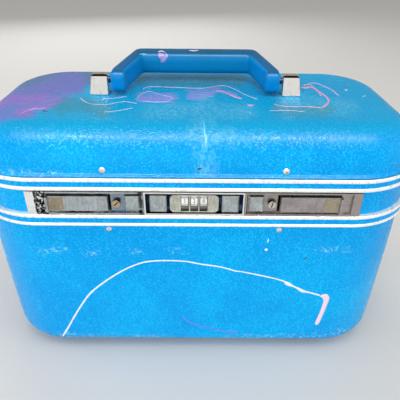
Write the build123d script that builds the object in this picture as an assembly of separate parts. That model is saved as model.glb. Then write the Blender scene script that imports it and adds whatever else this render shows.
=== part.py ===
from build123d import *
from math import acos, cos, sin
import os

# Train case: a hard shell with a hinged lid, two slide latches, two key locks and a three-dial lock.
# X is to the right, Y to the back, Z up. The origin is on the floor under the middle of the case.

# Overall form
case_width = 356.0
case_depth = 184.0
corner_radius = 60.0
wall = 3.0
foot_height = 2.5
draft_start = 125.0
draw_in = 2.0
base_edge_radius = 18.5
lid_height = 43.5
lid_edge_radius = 26.5

# Trims around the base and the lid, from the bottom up
trim_depth = 4.0
trim_fit = 0.05
stripe_recess = 1.2
bead_round = 1.1
overcut = 1.0
same_place = 0.1
base_trim_low = 142.5
base_bead_lower_height = 2.5
base_stripe_height = 4.4
base_bead_upper_height = 2.9
band_height = 20.3
parting_gap = 0.4
lid_bead_lower_height = 3.0
lid_stripe_height = 4.2
lid_bead_upper_height = 3.0

# Closing rails: the band outside, and the rim whose tongue stands up inside the lid
band_wall = 1.2
rim_wall = 2.0
rim_depth = 42.0
tongue_height = 4.4
tongue_clearance = 0.6
lid_rim_height = 11.8
lid_rim_clearance = 1.0

# Lock plates
plate_end_inset = 55.0
plate_margin = 0.5
plate_thickness = 3.2
plate_rim = 1.2
plate_end = 6.5
plate_floor = 1.0
center_half_length = 37.0
module_gap = 0.3

# Slide latches
slider_inner_x = 63.5
slider_end_inset = 14.7
slider_height = 12.6
slider_proud = 2.7
slider_gap = 0.3
slider_travel = 6.0
lip_width = 1.6
overhang = 2.0
grip_length = 11.0
grip_height = 10.9
grip_pocket = 1.2
grip_thickness = 1.7
stem_end_inset = 18.8
stem_length = 10.0
stem_height = 4.0
stem_root = 0.5
bolt_height = 4.0
bolt_thickness = 3.6
bolt_end_inset = 14.3
bolt_clearance = 0.3
spigot_radius = 1.2
spigot_length = 6.0
spring_radius = 1.9
spring_wire = 0.35
spring_length = 7.0
spring_pitch = 1.5

# Lid keepers
keeper_inner_x = 44.0
keeper_width = 9.0
keeper_thickness = 1.2
keeper_clearance = 0.8
keeper_drop = 13.5
keeper_foot_height = 8.0
keeper_foot_rise = 1.0
keeper_slot_clearance = 1.0
keeper_notch_width = 3.0
keeper_notch_height = 4.6

# Latch housings
housing_inner_x = 39.0
housing_end_inset = 13.0
housing_height = 13.2
housing_depth = 8.6
housing_wall = 1.0
window_clearance = 0.3
flange_length = 5.5
flange_height = 10.0
screw_radius = 1.1
screw_head_radius = 2.2
screw_head_height = 1.5
hole_clearance = 0.05

# Key locks
key_x = 57.2
key_radius = 2.9
key_length = 6.7
key_proud = 2.9
key_collar_radius = 3.6
key_collar_thickness = 1.0
key_slot_width = 0.8
key_slot_length = 4.3
key_slot_depth = 1.0
key_turn_left = 45.0
key_turn_right = 12.0

# Pads and dials
side_pad_inner_x = 40.4
side_pad_width = 10.6
side_pad_height = 12.6
center_pad_inner_x = 20.4
center_pad_width = 12.4
center_pad_height = 14.4
pad_thickness = 2.6
pad_bevel = 0.9
bezel_length = 35.8
bezel_height = 14.8
bezel_corner = 3.5
bezel_thickness = 1.8
dial_radius = 7.6
dial_width = 5.45
dial_pitch = 6.9
dial_side_clearance = 0.2
dial_slot_clearance = 0.3
dial_notches = 10
notch_radius = 0.55
shaft_radius = 1.2
cheek_thickness = 1.2
cheek_gap = 0.75
frame_height = 13.0
frame_back_gap = 0.4
frame_back_thickness = 0.8

# Rivets of the shells
rivet_x = 65.5
rivet_shank_radius = 1.5
rivet_dome_height = 1.5
rivet_tail_radius = 2.3
rivet_tail_height = 0.8
base_rivet_radius = 2.4
base_rivet_drop = 5.0
lid_rivet_radius = 2.7
lid_rivet_rise = 4.5

# Rear hinges
hinge_end_inset = 83.0
hinge_length = 40.0
hinge_radius = 2.6
hinge_pin_radius = 1.2
hinge_drop = 1.2
knuckle_length = 13.8
knuckle_gap = 0.3
leaf_thickness = 1.0
leaf_height = 10.0
leaf_gap = 1.8
lid_leaf_thickness = 1.5
notch_clearance = 0.3
web_inset = 0.9
web_fit = 0.1
web_root_share = 0.7
neck_back_share = 0.6
neck_front_share = 0.2
leaf_rivet_x = 14.0
leaf_rivet_radius = 1.1
leaf_rivet_head = 2.1
leaf_rivet_dome = 0.8

# Handle, folded back on the lid
handle_gap = 2.0
handle_rest_angle = 5.0
handle_height = 18.0
hub_outer_x = 69.5
hub_inner_x = 57.5
grip_outer_x = 55.0
grip_inner_x = 47.0
grip_back_y = 55.5
grip_front_y = 36.5
handle_bend_y = 3.0
handle_edge = 5.0
handle_outer_corner = 8.0
handle_inner_corner = 4.0
pivot_pin_radius = 2.5
pivot_pin_inset = 1.0
bracket_gap = 2.5
bracket_width = 16.0
bracket_lean = 1.7
bracket_nose = 5.2
bracket_front = 8.0
bracket_depth = 14.0
bracket_pin_depth = 11.0
backing_thickness = 1.2
backing_margin = 4.0
bracket_screw_radius = 1.6
bracket_screw_head = 2.6
bracket_screw_head_height = 1.4
bracket_screw_depth = 7.0
bracket_screw_spacing = 5.6

# Lining, pocket, mirror, tray and feet
lining_gap = 0.3
lining_thickness = 1.5
base_lining_drop = 2.2
lid_lining_gap = 0.5
lid_lining_headroom = 0.4
pocket_end_inset = 73.0
pocket_low = 40.0
pocket_high = 108.0
pocket_reach = 23.0
mirror_end_inset = 60.0
mirror_side_inset = 31.0
mirror_corner = 12.0
mirror_thickness = 3.0
mirror_border = 7.0
glass_thickness = 2.1
glass_rebate = 4.5
glass_fit = 0.25
glass_lip = 0.6
tray_inset = 19.0
tray_wall = 1.8
tray_height = 24.0
tray_rise = 4.5
rail_gap = 0.3
rail_height = 3.0
rail_overlap = 8.0
rail_end_gap = 2.0
tray_handle_length = 104.0
tray_handle_width = 12.0
tray_handle_post = 6.0
tray_handle_bar = 4.0
tray_handle_rise = 5.0
foot_radius = 7.0
foot_end_inset = 60.0
foot_side_inset = 46.0
foot_edge = 0.8

# Heights and faces that follow from the sizes above
half_width = case_width / 2
half_depth = case_depth / 2
base_stripe_low = base_trim_low + base_bead_lower_height
base_bead_upper_low = base_stripe_low + base_stripe_height
band_low = base_bead_upper_low + base_bead_upper_height
parting = band_low + band_height
lid_low = parting + parting_gap
lid_stripe_low = lid_low + lid_bead_lower_height
lid_bead_upper_low = lid_stripe_low + lid_stripe_height
lid_trim_top = lid_bead_upper_low + lid_bead_upper_height
lid_top = lid_low + lid_height
rail_under = parting - band_wall
wall_inset = trim_depth + wall
rim_inset = wall_inset + rim_wall
tongue_top = parting + tongue_height
rim_low = parting - rim_depth
lid_rim_low = tongue_top + lid_rim_clearance
lid_rim_top = lid_rim_low + lid_rim_height
band_face = half_depth - trim_depth
rim_face = half_depth - rim_inset
lock_z = band_low + band_height / 2
plate_low = band_low + plate_margin
plate_high = parting - plate_margin
plate_half_length = half_width - plate_end_inset
plate_front = -band_face - plate_thickness
plate_seat = -band_face - plate_floor
slider_outer_x = plate_half_length - slider_end_inset
stem_inner_x = slider_outer_x - stem_end_inset - stem_length
bolt_outer_x = slider_outer_x - bolt_end_inset
housing_outer_x = plate_half_length - housing_end_inset
hinge_x = half_width - hinge_end_inset
hinge_y = half_depth + overhang - hinge_radius
hinge_z = lid_low - hinge_drop - hinge_radius
pivot_z = lid_top + handle_gap + handle_height / 2
dial_y = -half_depth + dial_radius
bolt_front = -band_face + housing_depth - housing_wall - bolt_thickness - slider_gap * 2
keeper_front = -rim_face + keeper_clearance
lid_lining_top = lid_top - wall - backing_thickness - bracket_screw_head_height - lid_lining_headroom
base_lining_top = rim_low - base_lining_drop
pocket_half_length = half_width - pocket_end_inset
pocket_front_y = half_depth - pocket_reach
mirror_width = case_width - 2 * mirror_end_inset
mirror_depth = case_depth - 2 * mirror_side_inset
tray_seat = rim_low + tray_rise
rail_half_length = half_depth - corner_radius - rail_end_gap
foot_x = half_width - foot_end_inset
foot_y = half_depth - foot_side_inset


def block(x_range, y_range, z_range):
    size = [high - low for low, high in (x_range, y_range, z_range)]
    middle = [(low + high) / 2 for low, high in (x_range, y_range, z_range)]
    return Pos(*middle) * Box(*size)


def span(low, length):
    return (low, low + length)


def around(middle, length):
    return (middle - length / 2, middle + length / 2)


def sided(side, low, high):
    return (low, high) if side > 0 else (-high, -low)


def rod_y(radius, x, z, y_range):
    low, high = y_range
    return Pos(x, (low + high) / 2, z) * Rot(90, 0, 0) * Cylinder(radius, high - low)


def rod_x(radius, y, z, x_range):
    low, high = x_range
    return Pos((low + high) / 2, y, z) * Rot(0, 90, 0) * Cylinder(radius, high - low)


def rod_z(radius, x, y, z_range):
    low, high = z_range
    return Pos(x, y, (low + high) / 2) * Cylinder(radius, high - low)


# The case outline, drawn in by an inset on every side
def outline(inset, z):
    size = (case_width - 2 * inset, case_depth - 2 * inset)
    return Pos(0, 0, z) * RectangleRounded(*size, corner_radius - inset)


def slab(inset, low, high):
    return extrude(outline(inset, low), high - low)


def ring(outer_inset, inner_inset, low, high):
    return slab(outer_inset, low, high) - slab(inner_inset, low, high)


# The base draws in below draft_start and ends in a rounded lower edge
def base_form(extra, high):
    low = foot_height + extra
    sections = [outline(trim_depth + draw_in + extra, low), outline(trim_depth + extra, draft_start)]
    lower = loft(sections, ruled=True)
    lower = fillet(lower.edges().group_by(Axis.Z)[0], base_edge_radius - extra)
    return lower + slab(trim_depth + extra, draft_start, high)


def lid_form(extra, low, high):
    body = slab(trim_depth + extra, low, high)
    return fillet(body.edges().group_by(Axis.Z)[-1], lid_edge_radius - extra)


# Openings in the front wall for the two latch housings and the dials
def lock_windows():
    cuts = Part()
    depth = (-half_depth, -rim_face + overcut)
    height = around(lock_z, housing_height + 2 * window_clearance)
    for side in (-1, 1):
        inner = housing_inner_x - window_clearance
        outer = housing_outer_x + window_clearance
        cuts += block(sided(side, inner, outer), depth, height)
    dial_half = dial_row_half() + cheek_thickness + window_clearance
    tall = around(lock_z, 2 * dial_radius + 2 * window_clearance)
    return cuts + block((-dial_half, dial_half), depth, tall)


def housing_screw_places():
    far = housing_outer_x + flange_length / 2
    near = housing_inner_x - flange_length / 2
    return [side * x for side in (-1, 1) for x in (near, far)]


def hinge_places():
    return [-hinge_x, hinge_x]


def leaf_rivet_places():
    return [x + step for x in hinge_places() for step in (-leaf_rivet_x, leaf_rivet_x)]


def base_leaf_rivet_z():
    return band_low + leaf_gap + leaf_height / 2


def lid_leaf_rivet_z():
    return lid_low + (lid_bead_lower_height + lid_stripe_height) / 2


# Bores for rivets and screws through the walls, as one cutting body for each shell
def base_bores():
    cuts = Part()
    front = (-half_depth, -rim_face + overcut)
    back = (rim_face - overcut, half_depth)
    for side in (-1, 1):
        z = base_trim_low - base_rivet_drop
        cuts += rod_y(rivet_shank_radius + hole_clearance, side * rivet_x, z, front)
    for x in housing_screw_places():
        cuts += rod_y(screw_radius + hole_clearance, x, lock_z, front)
    for x in leaf_rivet_places():
        cuts += rod_y(leaf_rivet_radius + hole_clearance, x, base_leaf_rivet_z(), back)
    return cuts


def lid_bores():
    cuts = Part()
    front = (-half_depth, -rim_face + overcut)
    for side in (-1, 1):
        z = lid_trim_top + lid_rivet_rise
        cuts += rod_y(rivet_shank_radius + hole_clearance, side * rivet_x, z, front)
    back = (rim_face + rim_wall - overcut, half_depth)
    for x in leaf_rivet_places():
        cuts += rod_y(leaf_rivet_radius + hole_clearance, x, lid_leaf_rivet_z(), back)
    for x, y in bracket_screw_places():
        cuts += rod_z(bracket_screw_radius + hole_clearance, x, y, (lid_top - 2 * wall, lid_top + overcut))
    return cuts


def base_shell():
    outer = base_form(0, band_low) + slab(trim_depth + band_wall, band_low, rail_under)
    return outer - base_form(wall, parting + overcut) - lock_windows() - base_bores()


def base_band():
    upright = ring(trim_depth, trim_depth + band_wall, band_low, parting)
    flange = ring(trim_depth, wall_inset, rail_under, parting)
    return upright + flange - lock_windows() - base_bores()


def base_rim():
    seat = ring(wall_inset, rim_inset, rim_low, rail_under)
    tongue = ring(wall_inset + tongue_clearance, rim_inset, rail_under, tongue_top)
    return seat + tongue - lock_windows() - base_bores()


def bead(low, height):
    body = slab(0, low, low + height)
    edges = body.edges().group_by(Axis.Z)
    body = fillet(edges[0] + edges[-1], bead_round)
    return body - slab(trim_depth - trim_fit, low, low + height)


def stripe(low, height):
    return ring(stripe_recess, trim_depth - trim_fit, low, low + height)


# The lid's lower trims stop beside each hinge leaf
def hinge_notches():
    cuts = Part()
    width = hinge_length + 2 * notch_clearance
    depth = (band_face - overcut, half_depth + overcut)
    for x in hinge_places():
        cuts += block(around(x, width), depth, (lid_low - overcut, lid_bead_upper_low))
    return cuts


def shell_rivets(z, head_radius):
    pieces = []
    sphere_radius = (head_radius ** 2 + rivet_dome_height ** 2) / (2 * rivet_dome_height)
    for side in (-1, 1):
        x = side * rivet_x
        ball = Pos(x, -band_face - rivet_dome_height + sphere_radius, z) * Sphere(sphere_radius)
        dome = ball & rod_y(head_radius + overcut, x, z, (-band_face - 2 * rivet_dome_height, -band_face))
        shank = rod_y(rivet_shank_radius, x, z, (-band_face, -rim_face))
        tail = rod_y(rivet_tail_radius, x, z, span(-rim_face, rivet_tail_height))
        pieces.append(dome + shank + tail)
    return pieces


def feet():
    pieces = []
    for x in (-foot_x, foot_x):
        for y in (-foot_y, foot_y):
            foot = rod_z(foot_radius, x, y, (0, foot_height))
            pieces.append(chamfer(foot.edges().group_by(Axis.Z)[0], foot_edge))
    return pieces


def base_lining():
    extra = wall + lining_gap
    return base_form(extra, base_lining_top) - base_form(extra + lining_thickness, base_lining_top + overcut)


def base_pocket():
    hollow = base_form(wall + 2 * lining_gap + lining_thickness, base_lining_top)
    length = (-pocket_half_length, pocket_half_length)
    space = block(length, (pocket_front_y, half_depth), (pocket_low, pocket_high))
    return hollow & space


# A shallow metal tray that fills the recess between the trims
def lock_tray(x_range, near_rim, far_rim):
    low, high = x_range
    plate = block(x_range, (plate_front, -band_face), (plate_low, plate_high))
    pocket_x = (low + near_rim, high - far_rim)
    pocket_z = (plate_low + plate_rim, plate_high - plate_rim)
    return plate - block(pocket_x, (plate_front - overcut, plate_seat), pocket_z)


def lock_plate_side(side):
    inner = center_half_length + module_gap
    rims = (plate_rim, plate_end) if side > 0 else (plate_end, plate_rim)
    plate = lock_tray(sided(side, inner, plate_half_length), *rims)
    slot_x = sided(side, stem_inner_x - slider_gap, stem_inner_x + stem_length + slider_travel + slider_gap)
    through = (plate_seat - overcut, -band_face + overcut)
    slot = block(slot_x, through, around(lock_z, stem_height + 2 * slider_gap))
    bore = rod_y(key_radius + hole_clearance, side * key_x, lock_z, through)
    return plate - slot - bore


def lock_plate_center():
    plate = lock_tray((-center_half_length, center_half_length), plate_rim, plate_rim)
    half = dial_row_half()
    height = around(lock_z, dial_slot_height(-band_face))
    return plate - block((-half, half), (plate_seat - overcut, -band_face + overcut), height)


def dial_row_half():
    return dial_pitch + dial_width / 2 + cheek_gap


# The height of a dial where it passes the plane at y, with room above and below
def dial_slot_height(y):
    half_chord = (dial_radius ** 2 - (dial_y - y) ** 2) ** 0.5
    return 2 * (half_chord + dial_slot_clearance)


def lock_pads():
    pieces = []
    kinds = [(side_pad_inner_x, side_pad_width, side_pad_height),
             (center_pad_inner_x, center_pad_width, center_pad_height)]
    for side in (-1, 1):
        for inner, width, height in kinds:
            x_range = sided(side, inner, inner + width)
            pad = block(x_range, (plate_seat - pad_thickness, plate_seat), around(lock_z, height))
            pieces.append(chamfer(pad.edges().group_by(Axis.Y)[0], pad_bevel))
    return pieces


def dial_places():
    return [-dial_pitch, 0, dial_pitch]


def dial_bezel():
    face = RectangleRounded(bezel_length, bezel_height, bezel_corner)
    body = extrude(Pos(0, plate_seat, lock_z) * Rot(90, 0, 0) * face, bezel_thickness)
    depth = (plate_seat - 2 * bezel_thickness, plate_seat + overcut)
    for x in dial_places():
        width = dial_width + 2 * dial_side_clearance
        body -= block(around(x, width), depth, around(lock_z, dial_slot_height(plate_seat)))
    return body


def dial_frame():
    inner = dial_row_half()
    outer = inner + cheek_thickness
    back = dial_y + dial_radius + frame_back_gap
    height = around(lock_z, frame_height)
    body = block((-outer, outer), span(back, frame_back_thickness), height)
    for side in (-1, 1):
        body += block(sided(side, inner, outer), (-band_face, back + frame_back_thickness), height)
    return body - rod_x(shaft_radius + hole_clearance, dial_y, lock_z, (-outer - overcut, outer + overcut))


def dial_shaft():
    outer = dial_row_half() + cheek_thickness
    return rod_x(shaft_radius, dial_y, lock_z, (-outer, outer))


def dial(x):
    body = rod_x(dial_radius, dial_y, lock_z, around(x, dial_width))
    body -= rod_x(shaft_radius + hole_clearance, dial_y, lock_z, around(x, dial_width + 2 * overcut))
    notch = rod_x(notch_radius, dial_y, lock_z + dial_radius, around(x, dial_width + 2 * overcut))
    turn = 360 / dial_notches
    for step in range(dial_notches):
        body -= notch.rotate(Axis((0, dial_y, lock_z), (1, 0, 0)), turn * (step + 0.5))
    return body


def slider(side):
    outer = slider_outer_x
    front = plate_seat - slider_gap - slider_proud
    x_range = sided(side, slider_inner_x, outer)
    body = block(x_range, (front, plate_seat - slider_gap), around(lock_z, slider_height))
    body = chamfer(body.edges().group_by(Axis.Y)[0], slider_gap)
    lip_x = sided(side, outer - lip_width, outer)
    body += block(lip_x, (-half_depth - overhang, front + slider_gap), around(lock_z, slider_height))
    stem_x = sided(side, stem_inner_x, stem_inner_x + stem_length)
    body += block(stem_x, (plate_seat - slider_gap - stem_root, bolt_front), around(lock_z, stem_height))
    return body - grip_insert(side, hole_clearance, front - 2 * grip_thickness)


def grip_insert(side, clearance, front):
    outer = slider_outer_x - lip_width
    seat = plate_seat - slider_gap - slider_proud + grip_pocket
    x_range = sided(side, outer - grip_length - clearance, outer)
    return block(x_range, (front, seat), around(lock_z, grip_height + 2 * clearance))


def slider_grip(side):
    seat = plate_seat - slider_gap - slider_proud + grip_pocket
    return grip_insert(side, 0, seat - grip_thickness)


def latch_bolt(side):
    nose = keeper_inner_x + keeper_width + bolt_clearance
    x_range = sided(side, nose, bolt_outer_x)
    body = block(x_range, span(bolt_front, bolt_thickness), around(lock_z, bolt_height))
    spigot_x = sided(side, bolt_outer_x, bolt_outer_x + spigot_length)
    return body + rod_x(spigot_radius, bolt_front + bolt_thickness / 2, lock_z, spigot_x)


def latch_spring(side):
    helix = Helix(spring_pitch, spring_length - 2 * spring_wire, spring_radius - spring_wire)
    start = helix @ 0
    section = Plane(origin=start, z_dir=helix % 0) * Circle(spring_wire)
    coil = sweep(section, path=helix)
    x = side * (bolt_outer_x + spring_wire)
    return Pos(x, bolt_front + bolt_thickness / 2, lock_z) * Rot(0, 90 * side, 0) * coil


def latch_housing(side):
    outer = housing_outer_x
    back = -band_face + housing_depth
    x_range = sided(side, housing_inner_x, outer)
    body = block(x_range, (-band_face, back), around(lock_z, housing_height))
    flange_x = sided(side, housing_inner_x - flange_length, outer + flange_length)
    body += block(flange_x, span(-rim_face, housing_wall), around(lock_z, flange_height))
    hollow_x = sided(side, housing_inner_x + housing_wall, outer - housing_wall)
    hollow_z = around(lock_z, housing_height - 2 * housing_wall)
    body -= block(hollow_x, (-band_face - overcut, back - housing_wall), hollow_z)
    keeper_x = sided(side, keeper_inner_x - keeper_slot_clearance,
                     keeper_inner_x + keeper_width + keeper_slot_clearance)
    keeper_y = (keeper_front - keeper_slot_clearance, back - housing_wall)
    body -= block(keeper_x, keeper_y, (lock_z, lock_z + housing_height))
    bore_y = (-rim_face - overcut, -rim_face + 2 * housing_wall)
    for x in housing_screw_places():
        body -= rod_y(screw_radius + hole_clearance, x, lock_z, bore_y)
    return body


def housing_screws():
    pieces = []
    head_low = -rim_face + housing_wall
    for x in housing_screw_places():
        head = rod_y(screw_head_radius, x, lock_z, span(head_low, screw_head_height))
        head = chamfer(head.edges().group_by(Axis.Y)[-1], screw_head_height / 4)
        slot_z = around(lock_z, screw_head_height / 3)
        head -= block(around(x, 3 * screw_head_radius), (head_low + screw_head_height / 2, 0), slot_z)
        pieces.append(head + rod_y(screw_radius, x, lock_z, (-band_face, head_low)))
    return pieces


def key_plug(side, turn):
    front = plate_seat - key_proud
    body = rod_y(key_radius, side * key_x, lock_z, span(front, key_length))
    collar_y = span(-band_face + slider_gap, key_collar_thickness)
    collar = rod_y(key_collar_radius, side * key_x, lock_z, collar_y)
    slot_x = around(side * key_x, key_slot_width)
    slot = block(slot_x, span(front, key_slot_depth), around(lock_z, key_slot_length))
    slot = slot.rotate(Axis((side * key_x, 0, lock_z), (0, 1, 0)), turn)
    return body + collar - slot


# A lid keeper hangs from the lid's rim, inside the base's tongue
def lid_keeper(side):
    x_range = sided(side, keeper_inner_x, keeper_inner_x + keeper_width)
    foot_low = lid_rim_low + keeper_foot_rise
    foot = block(x_range, (-rim_face, keeper_front + keeper_thickness), span(foot_low, keeper_foot_height))
    low = lid_low - keeper_drop
    blade = block(x_range, span(keeper_front, keeper_thickness), (low, foot_low + overcut))
    notch_outer = keeper_inner_x + keeper_width
    notch_x = sided(side, notch_outer - keeper_notch_width, notch_outer + overcut)
    notch = block(notch_x, (-half_depth, 0), around(lock_z, keeper_notch_height))
    return foot + blade - notch


def lid_shell():
    return lid_form(0, lid_low, lid_top) - lid_form(wall, lid_low - overcut, lid_top - wall) - lid_bores()


def lid_rim():
    return ring(wall_inset, rim_inset, lid_rim_low, lid_rim_top) - lid_bores()


def lid_lining():
    extra = wall + lid_lining_gap
    low = lid_rim_top + lining_gap
    inner = lid_form(extra + lining_thickness, lid_low - overcut, lid_lining_top - lining_thickness)
    cup = lid_form(extra, lid_low, lid_lining_top) - inner
    return cup & slab(0, low, lid_top)


def mirror_high():
    return lid_lining_top - lining_thickness - lining_gap


# The mirror's outline, drawn in by an inset on every side
def mirror_outline(inset, z):
    size = (mirror_width - 2 * inset, mirror_depth - 2 * inset)
    return Pos(0, 0, z) * RectangleRounded(*size, mirror_corner - inset / 2)


def mirror_frame():
    low = mirror_high() - mirror_thickness
    body = extrude(mirror_outline(0, low), mirror_thickness)
    body -= extrude(mirror_outline(mirror_border, low - overcut), mirror_thickness + 2 * overcut)
    return body - extrude(mirror_outline(glass_rebate, low + glass_lip), mirror_thickness)


def mirror_glass():
    low = mirror_high() - mirror_thickness + glass_lip
    return extrude(mirror_outline(glass_rebate + glass_fit, low), glass_thickness)


def hinge_knuckles(x):
    middle = around(x, knuckle_length)
    ends = [(x - hinge_length / 2, middle[0] - knuckle_gap), (middle[1] + knuckle_gap, x + hinge_length / 2)]
    return middle, ends


def hinge_bore():
    cuts = Part()
    length = hinge_length + 2 * overcut
    for x in hinge_places():
        cuts += rod_x(hinge_pin_radius + hole_clearance, hinge_y, hinge_z, around(x, length))
    return cuts


def hinge_base_leaves():
    pieces = []
    leaf_low = band_low + leaf_gap
    for x in hinge_places():
        leaf = block(around(x, hinge_length), span(band_face, leaf_thickness), span(leaf_low, leaf_height))
        for x_range in hinge_knuckles(x)[1]:
            leaf += block(x_range, (band_face, hinge_y), (leaf_low + leaf_height - overcut, hinge_z))
            leaf += rod_x(hinge_radius, hinge_y, hinge_z, x_range)
        for step in (-leaf_rivet_x, leaf_rivet_x):
            bore = (band_face - overcut, band_face + 2 * leaf_thickness)
            leaf -= rod_y(leaf_rivet_radius + hole_clearance, x + step, base_leaf_rivet_z(), bore)
        pieces.append(leaf - hinge_bore())
    return pieces


def hinge_lid_leaves():
    pieces = []
    web_y = (band_face + web_inset, half_depth - web_fit)
    for x in hinge_places():
        leaf_z = (lid_low, lid_bead_upper_low)
        leaf = block(around(x, hinge_length), span(band_face, lid_leaf_thickness), leaf_z)
        middle = hinge_knuckles(x)[0]
        leaf += block(middle, web_y, (hinge_z + hinge_radius * web_root_share, lid_stripe_low))
        neck_y = (hinge_y - hinge_radius * neck_back_share, hinge_y + hinge_radius * neck_front_share)
        leaf += block(middle, neck_y, (hinge_z, lid_stripe_low))
        leaf += rod_x(hinge_radius, hinge_y, hinge_z, middle)
        for step in (-leaf_rivet_x, leaf_rivet_x):
            bore = (band_face - overcut, band_face + 2 * lid_leaf_thickness)
            leaf -= rod_y(leaf_rivet_radius + hole_clearance, x + step, lid_leaf_rivet_z(), bore)
        pieces.append(leaf - hinge_bore())
    return pieces


def hinge_pins():
    return [rod_x(hinge_pin_radius, hinge_y, hinge_z, around(x, hinge_length)) for x in hinge_places()]


def leaf_rivets(z, head_y, tip_y):
    pieces = []
    for x in leaf_rivet_places():
        head = rod_y(leaf_rivet_head, x, z, span(head_y, leaf_rivet_dome))
        head = chamfer(head.edges().group_by(Axis.Y)[-1], leaf_rivet_dome / 2)
        pieces.append(head + rod_y(leaf_rivet_radius, x, z, (tip_y, head_y)))
    return pieces


# The handle is drawn level, its ends are rounded about the pivot, and it is then leaned up to where it rests
def handle():
    front_y = -handle_height / 2
    right = [(hub_inner_x, front_y), (hub_outer_x, front_y), (hub_outer_x, handle_bend_y),
             (grip_outer_x, grip_back_y)]
    left = [(-x, y) for x, y in reversed(right)]
    inner_left = [(-hub_inner_x, handle_bend_y), (-grip_inner_x, grip_front_y)]
    inner_right = [(-x, y) for x, y in reversed(inner_left)]
    plan = make_face(Polyline(right + left + inner_left + inner_right, close=True))
    back = [v for v in plan.vertices() if abs(v.Y - grip_back_y) < same_place]
    plan = fillet(back, handle_outer_corner)
    front = [v for v in plan.vertices()
             if abs(v.Y - grip_front_y) < same_place and abs(v.X) < grip_inner_x + same_place]
    plan = fillet(front, handle_inner_corner)
    body = extrude(Pos(0, 0, pivot_z - handle_height / 2) * plan, handle_height)
    levels = body.edges().group_by(Axis.Z)
    body = fillet(levels[0] + levels[-1], handle_edge)
    radius = handle_height / 2
    length = grip_back_y + 2 * radius
    side = SlotOverall(length, handle_height)
    middle_y = grip_back_y / 2
    limit = extrude(Plane.YZ * side, 2 * hub_outer_x, both=True)
    body &= Pos(0, middle_y, pivot_z) * limit
    for side_sign in (-1, 1):
        bore_x = sided(side_sign, hub_inner_x + pivot_pin_inset - hole_clearance, hub_outer_x + overcut)
        body -= rod_x(pivot_pin_radius + hole_clearance, 0, pivot_z, bore_x)
    return body.rotate(Axis((0, 0, pivot_z), (1, 0, 0)), handle_rest_angle)


def bracket_inner_x():
    return hub_outer_x + bracket_gap


def bracket_screw_places():
    x = bracket_inner_x() + bracket_width / 2
    middle = bracket_depth / 2 - bracket_front
    steps = (-bracket_screw_spacing / 2, bracket_screw_spacing / 2)
    return [(side * x, middle + step) for side in (-1, 1) for step in steps]


def pivot_pin_range(side, clearance):
    return sided(side, hub_inner_x + pivot_pin_inset, bracket_inner_x() + bracket_pin_depth + clearance)


# Where the tangent from a foot of the bracket meets the round nose about the pivot
def nose_tangent(foot_y, turn):
    away = Vector(foot_y, lid_top - pivot_z, 0)
    swing = turn * acos(bracket_nose / away.length)
    toward = away.normalized() * bracket_nose
    tangent = (toward.X * cos(swing) - toward.Y * sin(swing), toward.X * sin(swing) + toward.Y * cos(swing))
    return (tangent[0], pivot_z + tangent[1])


# Each bracket stands on the lid as a lug: tapered from the front, with a round nose about the handle's pin
def handle_brackets():
    pieces = []
    inner = bracket_inner_x()
    outer = inner + bracket_width
    top = pivot_z + bracket_nose
    front, back = -bracket_front, bracket_depth - bracket_front
    sides = [nose_tangent(front, -1), (front, lid_top), (back, lid_top), nose_tangent(back, 1)]
    lug = make_face(Polyline(sides, close=True)) + Pos(0, pivot_z) * Circle(bracket_nose)
    for side in (-1, 1):
        points = [(inner, lid_top), (outer, lid_top), (outer - bracket_lean, top), (inner + bracket_lean, top)]
        face = make_face(Polyline([(side * x, z) for x, z in points], close=True))
        body = Pos(0, back, 0) * extrude(Plane.XZ * face, bracket_depth)
        body &= extrude(Plane.YZ * lug, outer, both=True)
        body -= rod_x(pivot_pin_radius + hole_clearance, 0, pivot_z, pivot_pin_range(side, hole_clearance))
        for x, y in bracket_screw_places():
            depth = (lid_top - overcut, lid_top + bracket_screw_depth + hole_clearance)
            body -= rod_z(bracket_screw_radius + hole_clearance, x, y, depth)
        pieces.append(body)
    return pieces


def handle_pins():
    return [rod_x(pivot_pin_radius, 0, pivot_z, pivot_pin_range(side, 0)) for side in (-1, 1)]


def bracket_plates():
    pieces = []
    high = lid_top - wall
    inner = bracket_inner_x() - backing_margin
    outer = bracket_inner_x() + bracket_width + backing_margin
    y_range = (-bracket_front - backing_margin, bracket_depth - bracket_front + backing_margin)
    bore_z = (high - 2 * backing_thickness, high + overcut)
    for side in (-1, 1):
        body = block(sided(side, inner, outer), y_range, (high - backing_thickness, high))
        for x, y in bracket_screw_places():
            body -= rod_z(bracket_screw_radius + hole_clearance, x, y, bore_z)
        pieces.append(body)
    return pieces


def bracket_screws():
    pieces = []
    seat = lid_top - wall - backing_thickness
    for x, y in bracket_screw_places():
        head = rod_z(bracket_screw_head, x, y, (seat - bracket_screw_head_height, seat))
        shank = rod_z(bracket_screw_radius, x, y, (seat, lid_top + bracket_screw_depth))
        pieces.append(head + shank)
    return pieces


def tray():
    return slab(tray_inset, tray_seat, tray_seat + tray_height) - slab(
        tray_inset + tray_wall, tray_seat + tray_wall, tray_seat + tray_height + overcut)


def tray_handle():
    floor = tray_seat + tray_wall
    top = tray_seat + tray_height + tray_handle_rise
    width = (-tray_handle_width / 2, tray_handle_width / 2)
    body = block(around(0, tray_handle_length), width, (floor, top))
    opening = tray_handle_length - 2 * tray_handle_post
    through = (-tray_handle_width, tray_handle_width)
    body -= block(around(0, opening), through, (floor - overcut, top - tray_handle_bar))
    return body


def tray_rests():
    pieces = []
    outer = half_width - rim_inset
    inner = half_width - tray_inset - rail_overlap
    high = tray_seat - rail_gap
    for side in (-1, 1):
        y_range = (-rail_half_length, rail_half_length)
        pieces.append(block(sided(side, inner, outer), y_range, (high - rail_height, high)))
    return pieces


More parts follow.
